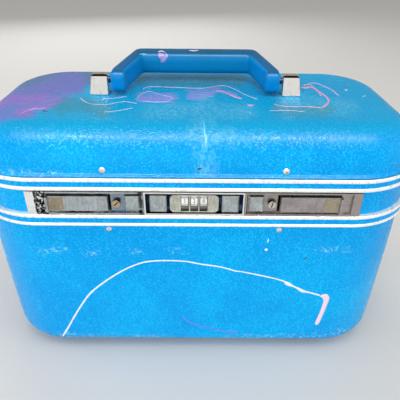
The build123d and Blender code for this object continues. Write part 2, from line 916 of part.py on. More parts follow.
nodes = {
    "base_shell": base_shell(),
    "base_band": base_band(),
    "base_rim": base_rim(),
    "base_bead_lower": bead(base_trim_low, base_bead_lower_height),
    "base_stripe": stripe(base_stripe_low, base_stripe_height),
    "base_bead_upper": bead(base_bead_upper_low, base_bead_upper_height),
    "base_rivets": shell_rivets(base_trim_low - base_rivet_drop, base_rivet_radius),
    "base_feet": feet(),
    "base_lining": base_lining(),
    "base_pocket": base_pocket(),
    "lock_plate_left": lock_plate_side(-1),
    "lock_plate_center": lock_plate_center(),
    "lock_plate_right": lock_plate_side(1),
    "lock_pads": lock_pads(),
    "dial_bezel": dial_bezel(),
    "dial_frame": dial_frame(),
    "dial_shaft": dial_shaft(),
    "housing_screws": housing_screws(),
    "hinge_base_leaves": hinge_base_leaves(),
    "hinge_base_rivets": leaf_rivets(base_leaf_rivet_z(), band_face + leaf_thickness, rim_face),
    "hinge_pins": hinge_pins(),
    "lid_shell": lid_shell(),
    "lid_rim": lid_rim(),
    "lid_bead_lower": bead(lid_low, lid_bead_lower_height) - hinge_notches(),
    "lid_stripe": stripe(lid_stripe_low, lid_stripe_height) - hinge_notches(),
    "lid_bead_upper": bead(lid_bead_upper_low, lid_bead_upper_height),
    "lid_rivets": shell_rivets(lid_trim_top + lid_rivet_rise, lid_rivet_radius),
    "lid_lining": lid_lining(),
    "mirror_frame": mirror_frame(),
    "mirror_glass": mirror_glass(),
    "hinge_lid_leaves": hinge_lid_leaves(),
    "hinge_lid_rivets": leaf_rivets(lid_leaf_rivet_z(), band_face + lid_leaf_thickness, rim_face + rim_wall),
    "handle_brackets": handle_brackets(),
    "handle_pins": handle_pins(),
    "bracket_plates": bracket_plates(),
    "bracket_screws": bracket_screws(),
    "handle": handle(),
    "key_plug_left": key_plug(-1, key_turn_left),
    "key_plug_right": key_plug(1, key_turn_right),
    "tray": tray(),
    "tray_handle": tray_handle(),
    "tray_rests": tray_rests(),
}

for side, word in ((-1, "left"), (1, "right")):
    nodes["slider_" + word] = slider(side)
    nodes["slider_grip_" + word] = slider_grip(side)
    nodes["latch_bolt_" + word] = latch_bolt(side)
    nodes["latch_spring_" + word] = latch_spring(side)
    nodes["latch_housing_" + word] = latch_housing(side)
    nodes["lid_keeper_" + word] = lid_keeper(side)

for number, x in enumerate(dial_places(), start=1):
    nodes["dial_" + str(number)] = dial(x)

os.makedirs("parts", exist_ok=True)
for name, shape in nodes.items():
    solids = shape if isinstance(shape, list) else [shape]
    whole = Compound(children=[piece for group in solids for piece in group.solids()])
    export_step(whole, "parts/" + name + ".step")
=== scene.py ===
import math

import bmesh
import bpy
import numpy as np
from mathutils import Matrix, Vector, noise
from mathutils.bvhtree import BVHTree


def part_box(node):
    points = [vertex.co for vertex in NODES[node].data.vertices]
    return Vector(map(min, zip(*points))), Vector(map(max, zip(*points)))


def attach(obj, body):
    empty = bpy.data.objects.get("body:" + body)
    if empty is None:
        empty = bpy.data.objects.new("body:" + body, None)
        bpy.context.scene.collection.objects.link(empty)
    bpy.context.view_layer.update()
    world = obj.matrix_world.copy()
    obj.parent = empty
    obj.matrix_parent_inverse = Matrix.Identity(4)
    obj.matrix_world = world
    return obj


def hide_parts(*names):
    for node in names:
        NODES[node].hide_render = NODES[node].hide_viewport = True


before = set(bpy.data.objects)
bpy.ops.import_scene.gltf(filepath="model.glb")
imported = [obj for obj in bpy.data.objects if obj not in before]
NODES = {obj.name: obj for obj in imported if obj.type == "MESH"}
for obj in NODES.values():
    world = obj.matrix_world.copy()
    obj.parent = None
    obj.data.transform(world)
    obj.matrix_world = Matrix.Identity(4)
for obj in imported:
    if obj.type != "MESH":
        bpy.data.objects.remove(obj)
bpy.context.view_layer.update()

MM = 0.001

# Sizes of the case, from the frame where a node shows them
HALF_X, HALF_Y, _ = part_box("base_bead_lower")[1]
TRIM = HALF_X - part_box("base_shell")[1].x
WALL = 3.0 * MM
CORNER = 60.0 * MM
FLOOR_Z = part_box("base_shell")[0].z
BAND_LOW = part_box("base_band")[0].z
BAND_WALL = 1.2 * MM
SHELL_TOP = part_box("base_shell")[1].z
LID_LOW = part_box("lid_shell")[0].z
LID_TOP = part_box("lid_shell")[1].z
LID_EDGE = 26.5 * MM
LID_CROWN = 0.8 * MM
BASE_EDGE = 18.5 * MM
DRAW_IN = 2.0 * MM
DRAFT_START = 125.0 * MM
BULGE = 0.8 * MM
LOCK_Z = (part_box("lock_plate_center")[0].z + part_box("lock_plate_center")[1].z) / 2
PLATE_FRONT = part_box("lock_plate_center")[0].y

# The photograph's camera: focal length in pixels of the 400 x 400 frame, then metres and degrees
FRAME = 400
FOCAL = 432.0
PITCH = math.radians(31.54)
ROLL = math.radians(0.63)
YAW = math.radians(0.44)
CAMERA_BACK = 0.3596
CAMERA_HEIGHT = 0.3308
CAMERA_SIDE = 0.0049


def camera_axes():
    forward = Vector((math.sin(YAW) * math.cos(PITCH), math.cos(YAW) * math.cos(PITCH), -math.sin(PITCH)))
    level = Vector((math.cos(YAW), -math.sin(YAW), 0))
    upward = level.cross(forward)
    right = level * math.cos(ROLL) + upward * math.sin(ROLL)
    up = upward * math.cos(ROLL) - level * math.sin(ROLL)
    place = level * CAMERA_SIDE + Vector((-math.sin(YAW), -math.cos(YAW), 0)) * CAMERA_BACK
    place.z = CAMERA_HEIGHT
    return place, right, up, forward


EYE, RIGHT, UP, FORWARD = camera_axes()


def pixel_ray(x, y):
    middle = FRAME / 2
    return (FORWARD * FOCAL + RIGHT * (x - middle) - UP * (y - middle)).normalized()


def to_pixels(points):
    away = np.asarray(points) - np.array(EYE)
    depth = away @ np.array(FORWARD)
    x = FRAME / 2 + FOCAL * (away @ np.array(RIGHT)) / depth
    y = FRAME / 2 - FOCAL * (away @ np.array(UP)) / depth
    return np.stack([x, y], 1)


def make_camera():
    data = bpy.data.cameras.new("photo_camera")
    data.sensor_width = 36.0
    data.lens = FOCAL / FRAME * data.sensor_width
    data.clip_start = 0.01
    camera = bpy.data.objects.new("photo_camera", data)
    columns = (RIGHT, UP, -FORWARD, EYE)
    camera.matrix_world = Matrix([[column[row] for column in columns] for row in range(3)] + [[0, 0, 0, 1]])
    bpy.context.scene.collection.objects.link(camera)
    bpy.context.scene.camera = camera


# Materials


class Finish:
    """A node material: a Principled shader, with short calls for the nodes that feed it."""

    def __init__(self, name, color, rough, metal=0.0, **sockets):
        self.material = bpy.data.materials.new(name)
        self.material.use_nodes = True
        self.tree = self.material.node_tree
        self.shader = self.tree.nodes["Principled BSDF"]
        self.set("Base Color", (*color, 1))
        self.set("Roughness", rough)
        self.set("Metallic", metal)
        for socket, value in sockets.items():
            self.set(socket.replace("_", " "), value)
        self.place = self.node("ShaderNodeTexCoord").outputs["Object"]

    def node(self, kind, **values):
        made = self.tree.nodes.new(kind)
        for key, value in values.items():
            setattr(made, key, value)
        return made

    def put(self, socket, value):
        if isinstance(value, bpy.types.NodeSocket):
            self.tree.links.new(value, socket)
        else:
            socket.default_value = value

    def set(self, name, value):
        self.put(self.shader.inputs[name], value)

    def stretch(self, scale, turn=0.0):
        made = self.node("ShaderNodeMapping")
        self.put(made.inputs["Vector"], self.place)
        made.inputs["Rotation"].default_value = (0.0, 0.0, math.radians(turn))
        made.inputs["Scale"].default_value = scale
        return made.outputs["Vector"]

    def noise(self, scale, detail=3.0, rough=0.5, distort=0.0, vector=None):
        made = self.node("ShaderNodeTexNoise")
        self.put(made.inputs["Vector"], vector or self.place)
        made.inputs["Scale"].default_value = scale
        made.inputs["Detail"].default_value = detail
        made.inputs["Roughness"].default_value = rough
        made.inputs["Distortion"].default_value = distort
        return made.outputs["Fac"]

    def cells(self, scale, vector=None):
        made = self.node("ShaderNodeTexVoronoi")
        self.put(made.inputs["Vector"], vector or self.place)
        made.inputs["Scale"].default_value = scale
        return made.outputs["Distance"]

    def math(self, kind, a, b=0.0):
        made = self.node("ShaderNodeMath", operation=kind)
        self.put(made.inputs[0], a)
        self.put(made.inputs[1], b)
        return made.outputs[0]

    def times(self, *values):
        total = values[0]
        for value in values[1:]:
            total = self.math("MULTIPLY", total, value)
        return total

    def step(self, value, low, high, out_low=0.0, out_high=1.0):
        made = self.node("ShaderNodeMapRange", interpolation_type="SMOOTHSTEP")
        self.put(made.inputs["Value"], value)
        for key, number in (("From Min", low), ("From Max", high), ("To Min", out_low), ("To Max", out_high)):
            made.inputs[key].default_value = number
        return made.outputs["Result"]

    def axis(self, name, vector=None):
        made = self.node("ShaderNodeSeparateXYZ")
        self.put(made.inputs[0], vector or self.place)
        return made.outputs[name]

    def facing(self, name):
        """How far the surface faces along the piece's own X, Y or Z, from -1 to 1."""
        return self.axis(name, self.node("ShaderNodeTexCoord").outputs["Normal"])

    def within(self, axis, low, high, soft):
        value = self.axis(axis)
        above = self.step(value, low - soft, low + soft)
        return self.times(above, self.step(value, high + soft, high - soft))

    def mix(self, share, a, b):
        made = self.node("ShaderNodeMix", data_type="RGBA")
        self.put(made.inputs["Factor"], share)
        for socket, value in ((made.inputs[6], a), (made.inputs[7], b)):
            self.put(socket, value if isinstance(value, bpy.types.NodeSocket) else (*value, 1))
        return made.outputs[2]

    def over(self, color, shade, *shares):
        """The colour with a shade laid over it, as far as all the shares let it."""
        return self.mix(self.times(*shares), color, shade)

    def marked(self, color, marks):
        """Each mark is a shade inside ranges of X, Y or Z, with its share and how soft its border is."""
        for shade, share, soft, ranges in marks:
            inside = [self.within(axis, low, high, soft) for axis, low, high in ranges]
            color = self.over(color, shade, *inside, share)
        return color

    def painted(self, name):
        return self.node("ShaderNodeAttribute", attribute_name=name).outputs["Fac"]

    def bump(self, height, distance, strength=1.0, below=None):
        made = self.node("ShaderNodeBump")
        made.inputs["Strength"].default_value = strength
        made.inputs["Distance"].default_value = distance
        self.put(made.inputs["Height"], height)
        if below is not None:
            self.put(made.inputs["Normal"], below)
        return made.outputs["Normal"]

    def uneven(self, scale, detail, smooth, dull, low=0.3, high=0.7):
        """Roughness that wanders between two values."""
        self.set("Roughness", self.step(self.noise(scale, detail), low, high, smooth, dull))

    def grain(self, height, distance, strength):
        self.set("Normal", self.bump(height, distance, strength))


AZURE = (0.0, 0.44, 0.88)
AZURE_DEEP = (0.0, 0.33, 0.78)
AZURE_PALE = (0.02, 0.58, 0.93)
AZURE_GRIT = (0.10, 0.70, 0.90)


PEBBLE_WANDER = 0.0022
# Mark, paint colour, where its ragged edge starts and ends, and how much it covers
PAINTS = [
    ("dusk", (0.15, 0.14, 0.30), 1.45, 1.90, 0.7),
    ("violet", (0.17, 0.18, 0.58), 1.45, 1.80, 0.75),
    ("magenta", (0.30, 0.17, 0.58), 1.72, 1.98, 0.65),
    ("lilac", (0.30, 0.27, 0.78), 1.78, 2.04, 0.75),
    # grime, and a painted shadow of the handle's grip on the lid
    ("grime_and_shadow", (0.05, 0.22, 0.25), 1.50, 2.05, 0.5),
]


def vinyl_material(name, painted, shade_lines=()):
    """Azure vinyl with a pebbled grain, worn pale on its crests, with the smears that are painted on (the
    haze among them carries a painted highlight), a painted shade over the lid's top and painted shade along
    the creases.
    """
    f = Finish(name, AZURE, 0.34, Specular_IOR_Level=0.11)
    on_top = f.step(f.axis("Z"), LID_TOP - 8 * MM, LID_TOP - 1.5 * MM)
    wander = f.node("ShaderNodeTexNoise")
    f.put(wander.inputs["Vector"], f.place)
    wander.inputs["Scale"].default_value = 180.0
    bent = f.node("ShaderNodeMix", data_type="VECTOR")
    bent.inputs["Factor"].default_value = PEBBLE_WANDER
    f.put(bent.inputs[4], f.place)
    f.put(bent.inputs[5], wander.outputs["Color"])
    crest = f.step(f.cells(560.0, bent.outputs[1]), 0.62, 0.12)
    color = f.mix(f.step(f.noise(9.0, 4.0, 0.6, 0.6), 0.36, 0.66), AZURE_DEEP, AZURE)
    streaks = f.noise(60.0, 5.0, 0.65, 0.3, f.stretch((3.2, 3.2, 0.5)))
    color = f.over(color, AZURE_PALE, f.step(streaks, 0.5, 0.78), 0.35)
    patchy = f.step(f.noise(70.0, 4.0, 0.6), 0.3, 0.7, 0.15, 0.6)
    color = f.over(color, AZURE_PALE, f.step(crest, 0.55, 0.95), patchy)
    color = f.over(color, (0.0, 0.24, 0.62), f.step(crest, 0.35, 0.0), 0.45)
    # painted shade: the lid's top is tinted a darker, greener azure
    color = f.over(color, (0.0, 0.35, 0.60), on_top, 0.6)
    grit = f.step(f.cells(260.0), 0.16, 0.07)
    color = f.over(color, AZURE_GRIT, grit, f.step(f.noise(34.0, 3.0), 0.48, 0.66), 0.55)
    if painted:
        brushed = f.noise(130.0, 7.0, 0.75, 0.9, f.stretch((0.45, 1.5, 1.0), 38.0))
        for mark, paint, low, high, share in PAINTS:
            drawn = f.math("ADD", f.painted(mark), f.math("MULTIPLY", brushed, 2.3))
            near = f.step(f.painted(mark), 0.05, 0.3)
            color = f.over(color, paint, near, f.step(drawn, low, high), share)
        worn = f.step(f.noise(330.0, 4.0, 0.7), 0.5, 0.64)
        color = f.over(color, (0.42, 0.76, 0.90), f.painted("worn"), worn, 0.6)
        # the haze is a real pale haze down the lid's middle, and a painted highlight in its patches along the
        # lid's front edge
        haze_and_highlight = f.step(f.noise(150.0, 5.0, 0.75, 0.5, f.stretch((2.0, 2.0, 0.5))), 0.4, 0.72)
        color = f.over(color, (0.34, 0.80, 0.90), f.painted("haze_and_highlight"), haze_and_highlight, 0.4)
    for low, high in shade_lines:
        # painted shade: a dark line along each crease by the beads, broken up by noise
        line = f.within("Z", low, high, 0.3 * MM)
        color = f.over(color, (0.02, 0.11, 0.16), line, f.step(f.noise(120.0, 4.0), 0.3, 0.55), 0.7)
    f.set("Base Color", color)
    gloss = f.step(f.noise(40.0, 4.0), 0.3, 0.7, 0.19, 0.3)
    f.set("Roughness", f.math("ADD", gloss, f.math("MULTIPLY", on_top, 0.06)))
    grain = f.bump(f.noise(2600.0, 2.0), 0.05 * MM, 0.4, f.bump(crest, 0.22 * MM, 0.8))
    f.set("Normal", f.bump(f.noise(26.0, 2.0), 0.5 * MM, 0.25, grain))
    return f.material


def trim_material():
    f = Finish("trim_white_metal", (0.80, 0.82, 0.80), 0.3, 0.25)
    dirt = f.step(f.noise(90.0, 5.0, 0.7, 0.4), 0.5, 0.74)
    pits = f.step(f.noise(420.0, 4.0, 0.75), 0.6, 0.7)
    color = f.over((0.82, 0.84, 0.82), (0.60, 0.54, 0.44), dirt, 0.3)
    f.set("Base Color", f.over(color, (0.45, 0.42, 0.38), pits, 0.2))
    f.uneven(300.0, 3.0, 0.24, 0.42)
    f.grain(f.noise(1400.0, 2.0, 0.5, 0.0, f.stretch((0.08, 0.08, 1.0))), 0.03 * MM, 0.3)
    return f.material


def metal_material(name, color, rough, grain=900.0, stain=(0.25, 0.22, 0.18), stain_share=0.3, marks=()):
    """Metal with stains and marks."""
    f = Finish(name, color, rough, 1.0)
    spots = f.step(f.noise(150.0, 6.0, 0.72, 0.5), 0.56, 0.74)
    f.set("Base Color", f.marked(f.over(color, stain, spots, stain_share), marks))
    f.uneven(220.0, 4.0, rough * 0.7, rough * 1.5, 0.25, 0.75)
    f.grain(f.noise(grain, 3.0), 0.02 * MM, 0.35)
    return f.material


# Stretches of the lock plates along X, in millimetres: ends, the painted shade in the gaps at the sliders'
# inner ends, stains, the black bloom on the left and a painted blue-grey shade on the left
END_LEFT, END_RIGHT = (-130.0, -109.0), (109.5, 130.0)
GAP_SHADE_LEFT, GAP_SHADE_RIGHT = (-63.3, -61.4), (61.4, 63.3)
DARK_LEFT, DARK_RIGHT = (-41.0, -37.5), (37.0, 39.4)
BLOOM_LEFT, BLUE_SHADE_LEFT = (-117.6, -107.4), (-62.0, -48.0)
GAP_SHADE_HALF = 7.0 * MM


def plate_material(name, warm):
    """Satin nickel lock plates: painted shade in the recess, with stains along its edges."""
    light = (0.42, 0.385, 0.375) if warm else (0.50, 0.53, 0.55)
    f = Finish(name, light, 0.26, 1.0)

    def along(stretch, soft):
        return f.within("X", stretch[0] * MM, stretch[1] * MM, soft * MM)

    recess = f.step(f.axis("Y"), PLATE_FRONT + 0.3 * MM, PLATE_FRONT + 0.9 * MM)
    across = f.axis("Z")
    edge = f.math("MAXIMUM", f.step(across, LOCK_Z + 5.2 * MM, LOCK_Z + 7.6 * MM),
                  f.step(across, LOCK_Z - 5.6 * MM, LOCK_Z - 8.0 * MM))
    blots = f.step(f.noise(170.0, 6.0, 0.75, 0.8, f.stretch((0.4, 1.0, 1.4))), 0.44, 0.56)
    # painted shade: the recess is darkened
    color = f.over(light, (0.32, 0.30, 0.31) if warm else (0.36, 0.40, 0.44), recess, 0.3)
    if warm:
        color = f.over(color, (0.04, 0.04, 0.05), edge, recess, blots, 0.4)
        color = f.over(color, (0.008, 0.012, 0.04), along(DARK_RIGHT, 0.5), recess, 0.95)
        color = f.over(color, light, along(END_RIGHT, 1.0))
    else:
        color = f.over(color, (0.02, 0.025, 0.035), edge, recess, blots, 0.95)
        color = f.over(color, (0.92, 0.94, 0.95), along(END_LEFT, 1.5))
        ragged = f.times(along(BLOOM_LEFT, 1.3), f.noise(340.0, 5.0, 0.75, 0.6))
        color = f.over(color, (0.003, 0.005, 0.008), f.step(ragged, 0.43, 0.48))
        # painted shade: blue-grey in the recess on the left
        color = f.over(color, (0.16, 0.26, 0.38), along(BLUE_SHADE_LEFT, 3.0), recess, 0.65)
        color = f.over(color, (0.01, 0.02, 0.03), along(DARK_LEFT, 1.0), blots, 0.9)
    # painted shade: a near-black stripe in the gap at the slider's inner end
    upright = f.within("Z", LOCK_Z - GAP_SHADE_HALF, LOCK_Z + GAP_SHADE_HALF, 0.5 * MM)
    slot = along(GAP_SHADE_RIGHT if warm else GAP_SHADE_LEFT, 0.2)
    f.set("Base Color", f.over(color, (0.004, 0.004, 0.004), slot, upright, recess))
    f.uneven(260.0, 4.0, 0.2, 0.4)
    f.grain(f.noise(1300.0, 2.0, 0.5, 0.0, f.stretch((0.06, 1.0, 1.0))), 0.02 * MM, 0.35)
    return f.material


def center_plate_material():
    f = Finish("nickel_center", (0.55, 0.57, 0.58), 0.2, 1.0)
    recess = f.step(f.axis("Y"), PLATE_FRONT + 0.2 * MM, PLATE_FRONT + 0.8 * MM)
    navy = f.mix(f.step(f.noise(140.0, 5.0, 0.7), 0.46, 0.7), (0.006, 0.012, 0.035), (0.06, 0.11, 0.20))
    f.set("Base Color", f.mix(recess, (0.90, 0.91, 0.91), navy))
    f.grain(f.noise(800.0, 2.0), 0.02 * MM, 0.3)
    return f.material


def scaled(color, share):
    return tuple(min(share * c, 0.95) for c in color)


def satin_nickel(name, color):
    """Satin faces, finely blasted, with a painted highlight on their lower bevels and a painted shade on
    their upper bevels.
    """
    f = Finish(name, color, 0.38, 1.0)
    blast = f.noise(900.0, 3.0, 0.7)
    brushed = f.noise(800.0, 3.0, 0.6, 0.0, f.stretch((1.0, 1.0, 0.3)))
    cloud = f.noise(130.0, 5.0, 0.65)
    tone = f.mix(f.step(cloud, 0.35, 0.65), scaled(color, 0.86), scaled(color, 1.08))
    tone = f.over(tone, scaled(color, 0.60), f.step(brushed, 0.46, 0.62), 0.5)
    tone = f.over(tone, scaled(color, 1.45), f.step(blast, 0.52, 0.66), 0.5)
    upright = f.facing("Z")
    # painted shade: faces turned up are laid over with near black
    tone = f.over(tone, (0.05, 0.05, 0.05), f.step(upright, 0.25, 0.65), 0.9)
    # painted highlight: faces turned down are laid over with near white
    f.set("Base Color", f.over(tone, (0.96, 0.97, 0.96), f.step(upright, -0.2, -0.6), 0.85))
    f.set("Roughness", f.step(cloud, 0.3, 0.7, 0.34, 0.52))
    f.grain(blast, 0.03 * MM, 0.4)
    return f.material


def rivet_material():
    """Bright domes with a painted tan reflection on the crown and a painted shade round the foot."""
    f = Finish("rivet_chrome", (0.94, 0.93, 0.91), 0.14, 1.0)
    out = f.math("ABSOLUTE", f.facing("Y"))
    speck = f.noise(600.0, 3.0, 0.6)
    worn = f.step(speck, 0.3, 0.6, 0.3, 0.95)
    # painted reflection: a tan spot where the dome faces straight out, broken up by the specks
    color = f.over((0.94, 0.93, 0.91), (0.66, 0.44, 0.34), f.step(out, 0.88, 0.97), worn)
    # painted shade: the dome darkens towards its foot
    f.set("Base Color", f.over(color, (0.08, 0.07, 0.07), f.step(out, 0.42, 0.15), 0.85))
    f.set("Roughness", f.step(speck, 0.3, 0.7, 0.1, 0.28))
    f.grain(speck, 0.03 * MM, 0.3)
    return f.material


def handle_material():
    """Blue plastic, deeper and greener along the grip, with painted shade on the faces turned down and up,
    and hand scuffs.
    """
    bright, deep = (0.0, 0.22, 0.57), (0.0, 0.19, 0.43)
    f = Finish("handle_blue", bright, 0.36, 0.0, Specular_IOR_Level=0.16)
    grip = f.step(f.axis("Y"), 20 * MM, 40 * MM)
    color = f.mix(f.step(f.noise(18.0, 3.0), 0.35, 0.65, 0.15, 0.0), bright, deep)
    color = f.mix(grip, color, deep)
    green = f.step(f.noise(40.0, 3.0), 0.5, 0.66)
    color = f.over(color, (0.005, 0.16, 0.26), grip, green, f.within("X", 5 * MM, 42 * MM, 8 * MM), 0.6)
    upright = f.facing("Z")
    # painted shade on the faces turned down
    color = f.over(color, (0.0, 0.10, 0.30), f.step(upright, -0.1, -0.8), 0.5)
    # painted shade on the faces turned up
    f.set("Base Color", f.over(color, (0.0, 0.05, 0.13), f.step(upright, 0.6, 0.95), 0.6))
    f.set("Roughness", f.step(f.noise(300.0, 5.0, 0.7, 0.6), 0.4, 0.7, 0.32, 0.44))
    f.grain(f.noise(34.0, 2.0), 0.25 * MM, 0.3)
    return f.material


def cloth_material(name, color, shade):
    """Satin cloth: a fine weave, with its tone a little deeper in patches."""
    f = Finish(name, color, 0.5, 0.0, Sheen_Weight=0.35, Sheen_Roughness=0.4)
    weave = f.node("ShaderNodeTexWave", wave_type="BANDS", bands_direction="DIAGONAL")
    f.put(weave.inputs["Vector"], f.place)
    weave.inputs["Scale"].default_value = 520.0
    weave.inputs["Distortion"].default_value = 1.2
    f.set("Base Color", f.mix(f.step(f.noise(45.0, 4.0), 0.35, 0.7), shade, color))
    f.uneven(200.0, 3.0, 0.42, 0.6)
    f.grain(weave.outputs["Fac"], 0.05 * MM, 0.35)
    return f.material


def paint_material(name, color, base, thin_share):
    """Dried paint: an uneven gloss film that lets the colour under it through in its thin places."""
    f = Finish(name, color, 0.36)
    f.set("Base Color", f.over(color, base, f.step(f.noise(420.0, 5.0, 0.72), 0.5, 0.66), thin_share))
    f.uneven(500.0, 3.0, 0.28, 0.5)
    f.grain(f.noise(700.0, 3.0), 0.06 * MM, 0.4)
    return f.material


def mirror_material():
    f = Finish("mirror_silver", (0.88, 0.9, 0.92), 0.02, 1.0)
    spots = f.times(f.step(f.cells(70.0), 0.09, 0.03), f.step(f.noise(12.0), 0.5, 0.62))
    f.set("Base Color", f.over((0.88, 0.9, 0.92), (0.30, 0.29, 0.27), spots))
    f.uneven(30.0, 3.0, 0.015, 0.06, 0.4, 0.8)
    return f.material


def rubbed_plastic(name, color, rough=0.45, marks=()):
    f = Finish(name, color, rough)
    tone = f.mix(f.step(f.noise(60.0, 4.0), 0.35, 0.7), scaled(color, 0.82), color)
    f.set("Base Color", f.marked(tone, marks))
    f.uneven(240.0, 4.0, rough - 0.08, rough + 0.1)
    f.grain(f.noise(900.0, 3.0), 0.04 * MM, 0.35)
    return f.material


# Mesh building


def add_piece(name, mesh, material, body, replaced=(), smooth=True):
    piece = bpy.data.objects.new(name, mesh)
    bpy.context.scene.collection.objects.link(piece)
    mesh.materials.append(material)
    if smooth:
        mesh.polygons.foreach_set("use_smooth", [True] * len(mesh.polygons))
    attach(piece, body)
    if replaced:
        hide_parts(*replaced)
    return piece


def mesh_from(points, faces, name):
    mesh = bpy.data.meshes.new(name)
    mesh.from_pydata([tuple(p) for p in points], [], faces)
    shape = bmesh.new()
    shape.from_mesh(mesh)
    bmesh.ops.remove_doubles(shape, verts=shape.verts, dist=1e-6)
    bmesh.ops.recalc_face_normals(shape, faces=shape.faces)
    shape.to_mesh(mesh)
    shape.free()
    return mesh


# How many points a ring of the case has along its long side, its short side and a corner
RING_COUNTS = (84, 30, 20)


def ring(half_x, half_y, radius, z, counts=RING_COUNTS):
    """Points around a rounded rectangle, anticlockwise from the start of the front right corner."""
    long_count, short_count, corner_count = counts
    signs = [(1, -1), (1, 1), (-1, 1), (-1, -1)]
    center_x, center_y = half_x - radius, half_y - radius
    points = []
    for k, (sx, sy) in enumerate(signs):
        turns = [math.radians(90 * (k - 1) + 90 * i / corner_count) for i in range(corner_count)]
        points += [(sx * center_x + radius * math.cos(a), sy * center_y + radius * math.sin(a), z)
                   for a in turns]
        end = math.radians(90 * k)
        away = Vector((radius * math.cos(end), radius * math.sin(end), z))
        next_x, next_y = signs[(k + 1) % 4]
        start = Vector((sx * center_x, sy * center_y, 0)) + away
        finish = Vector((next_x * center_x, next_y * center_y, 0)) + away
        count = short_count if k % 2 == 0 else long_count
        points += [tuple(start.lerp(finish, i / count)) for i in range(count)]
    return points


def case_ring(inset, z):
    return ring(HALF_X - inset, HALF_Y - inset, CORNER - inset, z)


def shrunk(points, share):
    return [(x * share, y * share, z) for x, y, z in points]


def quads(k, count):
    """Faces between ring k and the next ring of as many points."""
    low, high = k * count, (k + 1) * count
    return [(low + i, low + (i + 1) % count, high + (i + 1) % count, high + i) for i in range(count)]


def loft(rings, name):
    """Joins rings of equal length with quads, and closes the first and last with a fan."""
    count = len(rings[0])
    points = [p for r in rings for p in r]
    faces = []
    for k in range(len(rings) - 1):
        faces += quads(k, count)
    for first in (0, (len(rings) - 1) * count):
        middle = len(points)
        points.append(tuple(np.mean(points[first:first + count], axis=0)))
        faces += [(first + i, first + (i + 1) % count, middle) for i in range(count)]
    return mesh_from(points, faces, name)


def arc(start, end, steps):
    return [math.radians(start + (end - start) * i / steps) for i in range(steps + 1)]


def spread(low, high, steps):
    return [low + (high - low) * i / steps for i in range(steps + 1)]


def clamped(value):
    return min(max(value, 0), 1)


def eased(value):
    """From 0 to 1 with a soft start and end."""
    value = clamped(value)
    return value * value * (3 - 2 * value)


CAP_RINGS = 30


def cap(edge_ring):
    """Rings from the edge of a flat top or floor in to its middle."""
    return [shrunk(edge_ring, 1 - k / CAP_RINGS) for k in range(1, CAP_RINGS)]


def lid_rings(extra, wall):
    """Rings up a wall, given as insets and heights, over the rounded edge and in to the top's middle."""
    edge = LID_EDGE - extra
    top = LID_TOP - extra
    rings = [case_ring(inset, z) for inset, z in wall]
    for a in arc(0, 90, 16)[1:]:
        rings.append(case_ring(TRIM + extra + edge * (1 - math.cos(a)), top - edge * (1 - math.sin(a))))
    return rings + cap(rings[-1])


LIP_REACH = 2.9 * MM
LIP_HEIGHT = 2.6 * MM


def lip_profile():
    """The lid's outside from its lower edge: behind the trims, then a soft lip on the upper trim."""
    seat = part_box("lid_bead_upper")[1].z + 0.05 * MM
    profile = [(TRIM, LID_LOW), (TRIM, seat - 0.4 * MM), (TRIM, seat), (TRIM - LIP_REACH, seat)]
    for k in range(1, 11):
        share = k / 10
        profile.append((TRIM - LIP_REACH * (1 - eased(share)), seat + 0.5 * MM + LIP_HEIGHT * share))
    return profile + [(TRIM, z) for z in spread(profile[-1][1] + 0.5 * MM, LID_TOP - LID_EDGE, 2)]


def lid_shell():
    inside = [(TRIM + WALL, z) for z in spread(LID_LOW, LID_TOP - LID_EDGE, 4)]
    mesh = loft(lid_rings(WALL, inside)[::-1] + lid_rings(0, lip_profile()), "lid_shell_moulded")
    rise = LID_EDGE + WALL
    for vertex in mesh.vertices:
        x, y, z = vertex.co
        reach = max(abs(y) / HALF_Y, abs(x) / HALF_X) ** 2
        vertex.co.z -= LID_CROWN * reach * eased((z - LID_TOP + rise) / rise)
    return mesh


def base_inset(z):
    """How far the base's outside lies inside the trims at a height: drawn in below, a little bulged."""
    drawn = DRAW_IN * max(DRAFT_START - z, 0) / (DRAFT_START - FLOOR_Z)
    share = clamped((z - FLOOR_Z) / (BAND_LOW - FLOOR_Z))
    return TRIM + drawn - BULGE * math.sin(math.pi * share)


def base_rings(extra, high, steps):
    """Rings from the top of the wall down to the middle of the floor."""
    edge = BASE_EDGE - extra
    low = FLOOR_Z + extra
    rings = [case_ring(base_inset(z) + extra, z) for z in spread(high, low + edge, steps)]
    start = base_inset(low + edge) + extra
    for a in arc(0, 90, 14)[1:]:
        rings.append(case_ring(start + edge * (1 - math.cos(a)), low + edge * (1 - math.sin(a))))
    return rings + cap(rings[-1])


def box_mesh(low, high):
    shape = bmesh.new()
    bmesh.ops.create_cube(shape, size=1.0)
    middle = [(a + b) / 2 for a, b in zip(low, high)]
    size = [b - a for a, b in zip(low, high)]
    bmesh.ops.scale(shape, vec=size, verts=shape.verts)
    bmesh.ops.translate(shape, vec=middle, verts=shape.verts)
    mesh = bpy.data.meshes.new("cutter")
    shape.to_mesh(mesh)
    shape.free()
    return mesh


def lock_windows():
    """Boxes where the latch housings and the dials pass through the front wall."""
    cutters = []
    gap = 0.3 * MM
    for names in ("latch_housing_left", "latch_housing_right", "dial_1 dial_2 dial_3 dial_frame"):
        lows, highs = zip(*[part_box(name) for name in names.split()])
        low = (min(corner.x for corner in lows) - gap, -HALF_Y, min(corner.z for corner in lows) - gap)
        high = (max(corner.x for corner in highs) + gap, -HALF_Y + TRIM + 2 * WALL,
                max(corner.z for corner in highs) + gap)
        cutters.append(box_mesh(low, high))
    return cutters


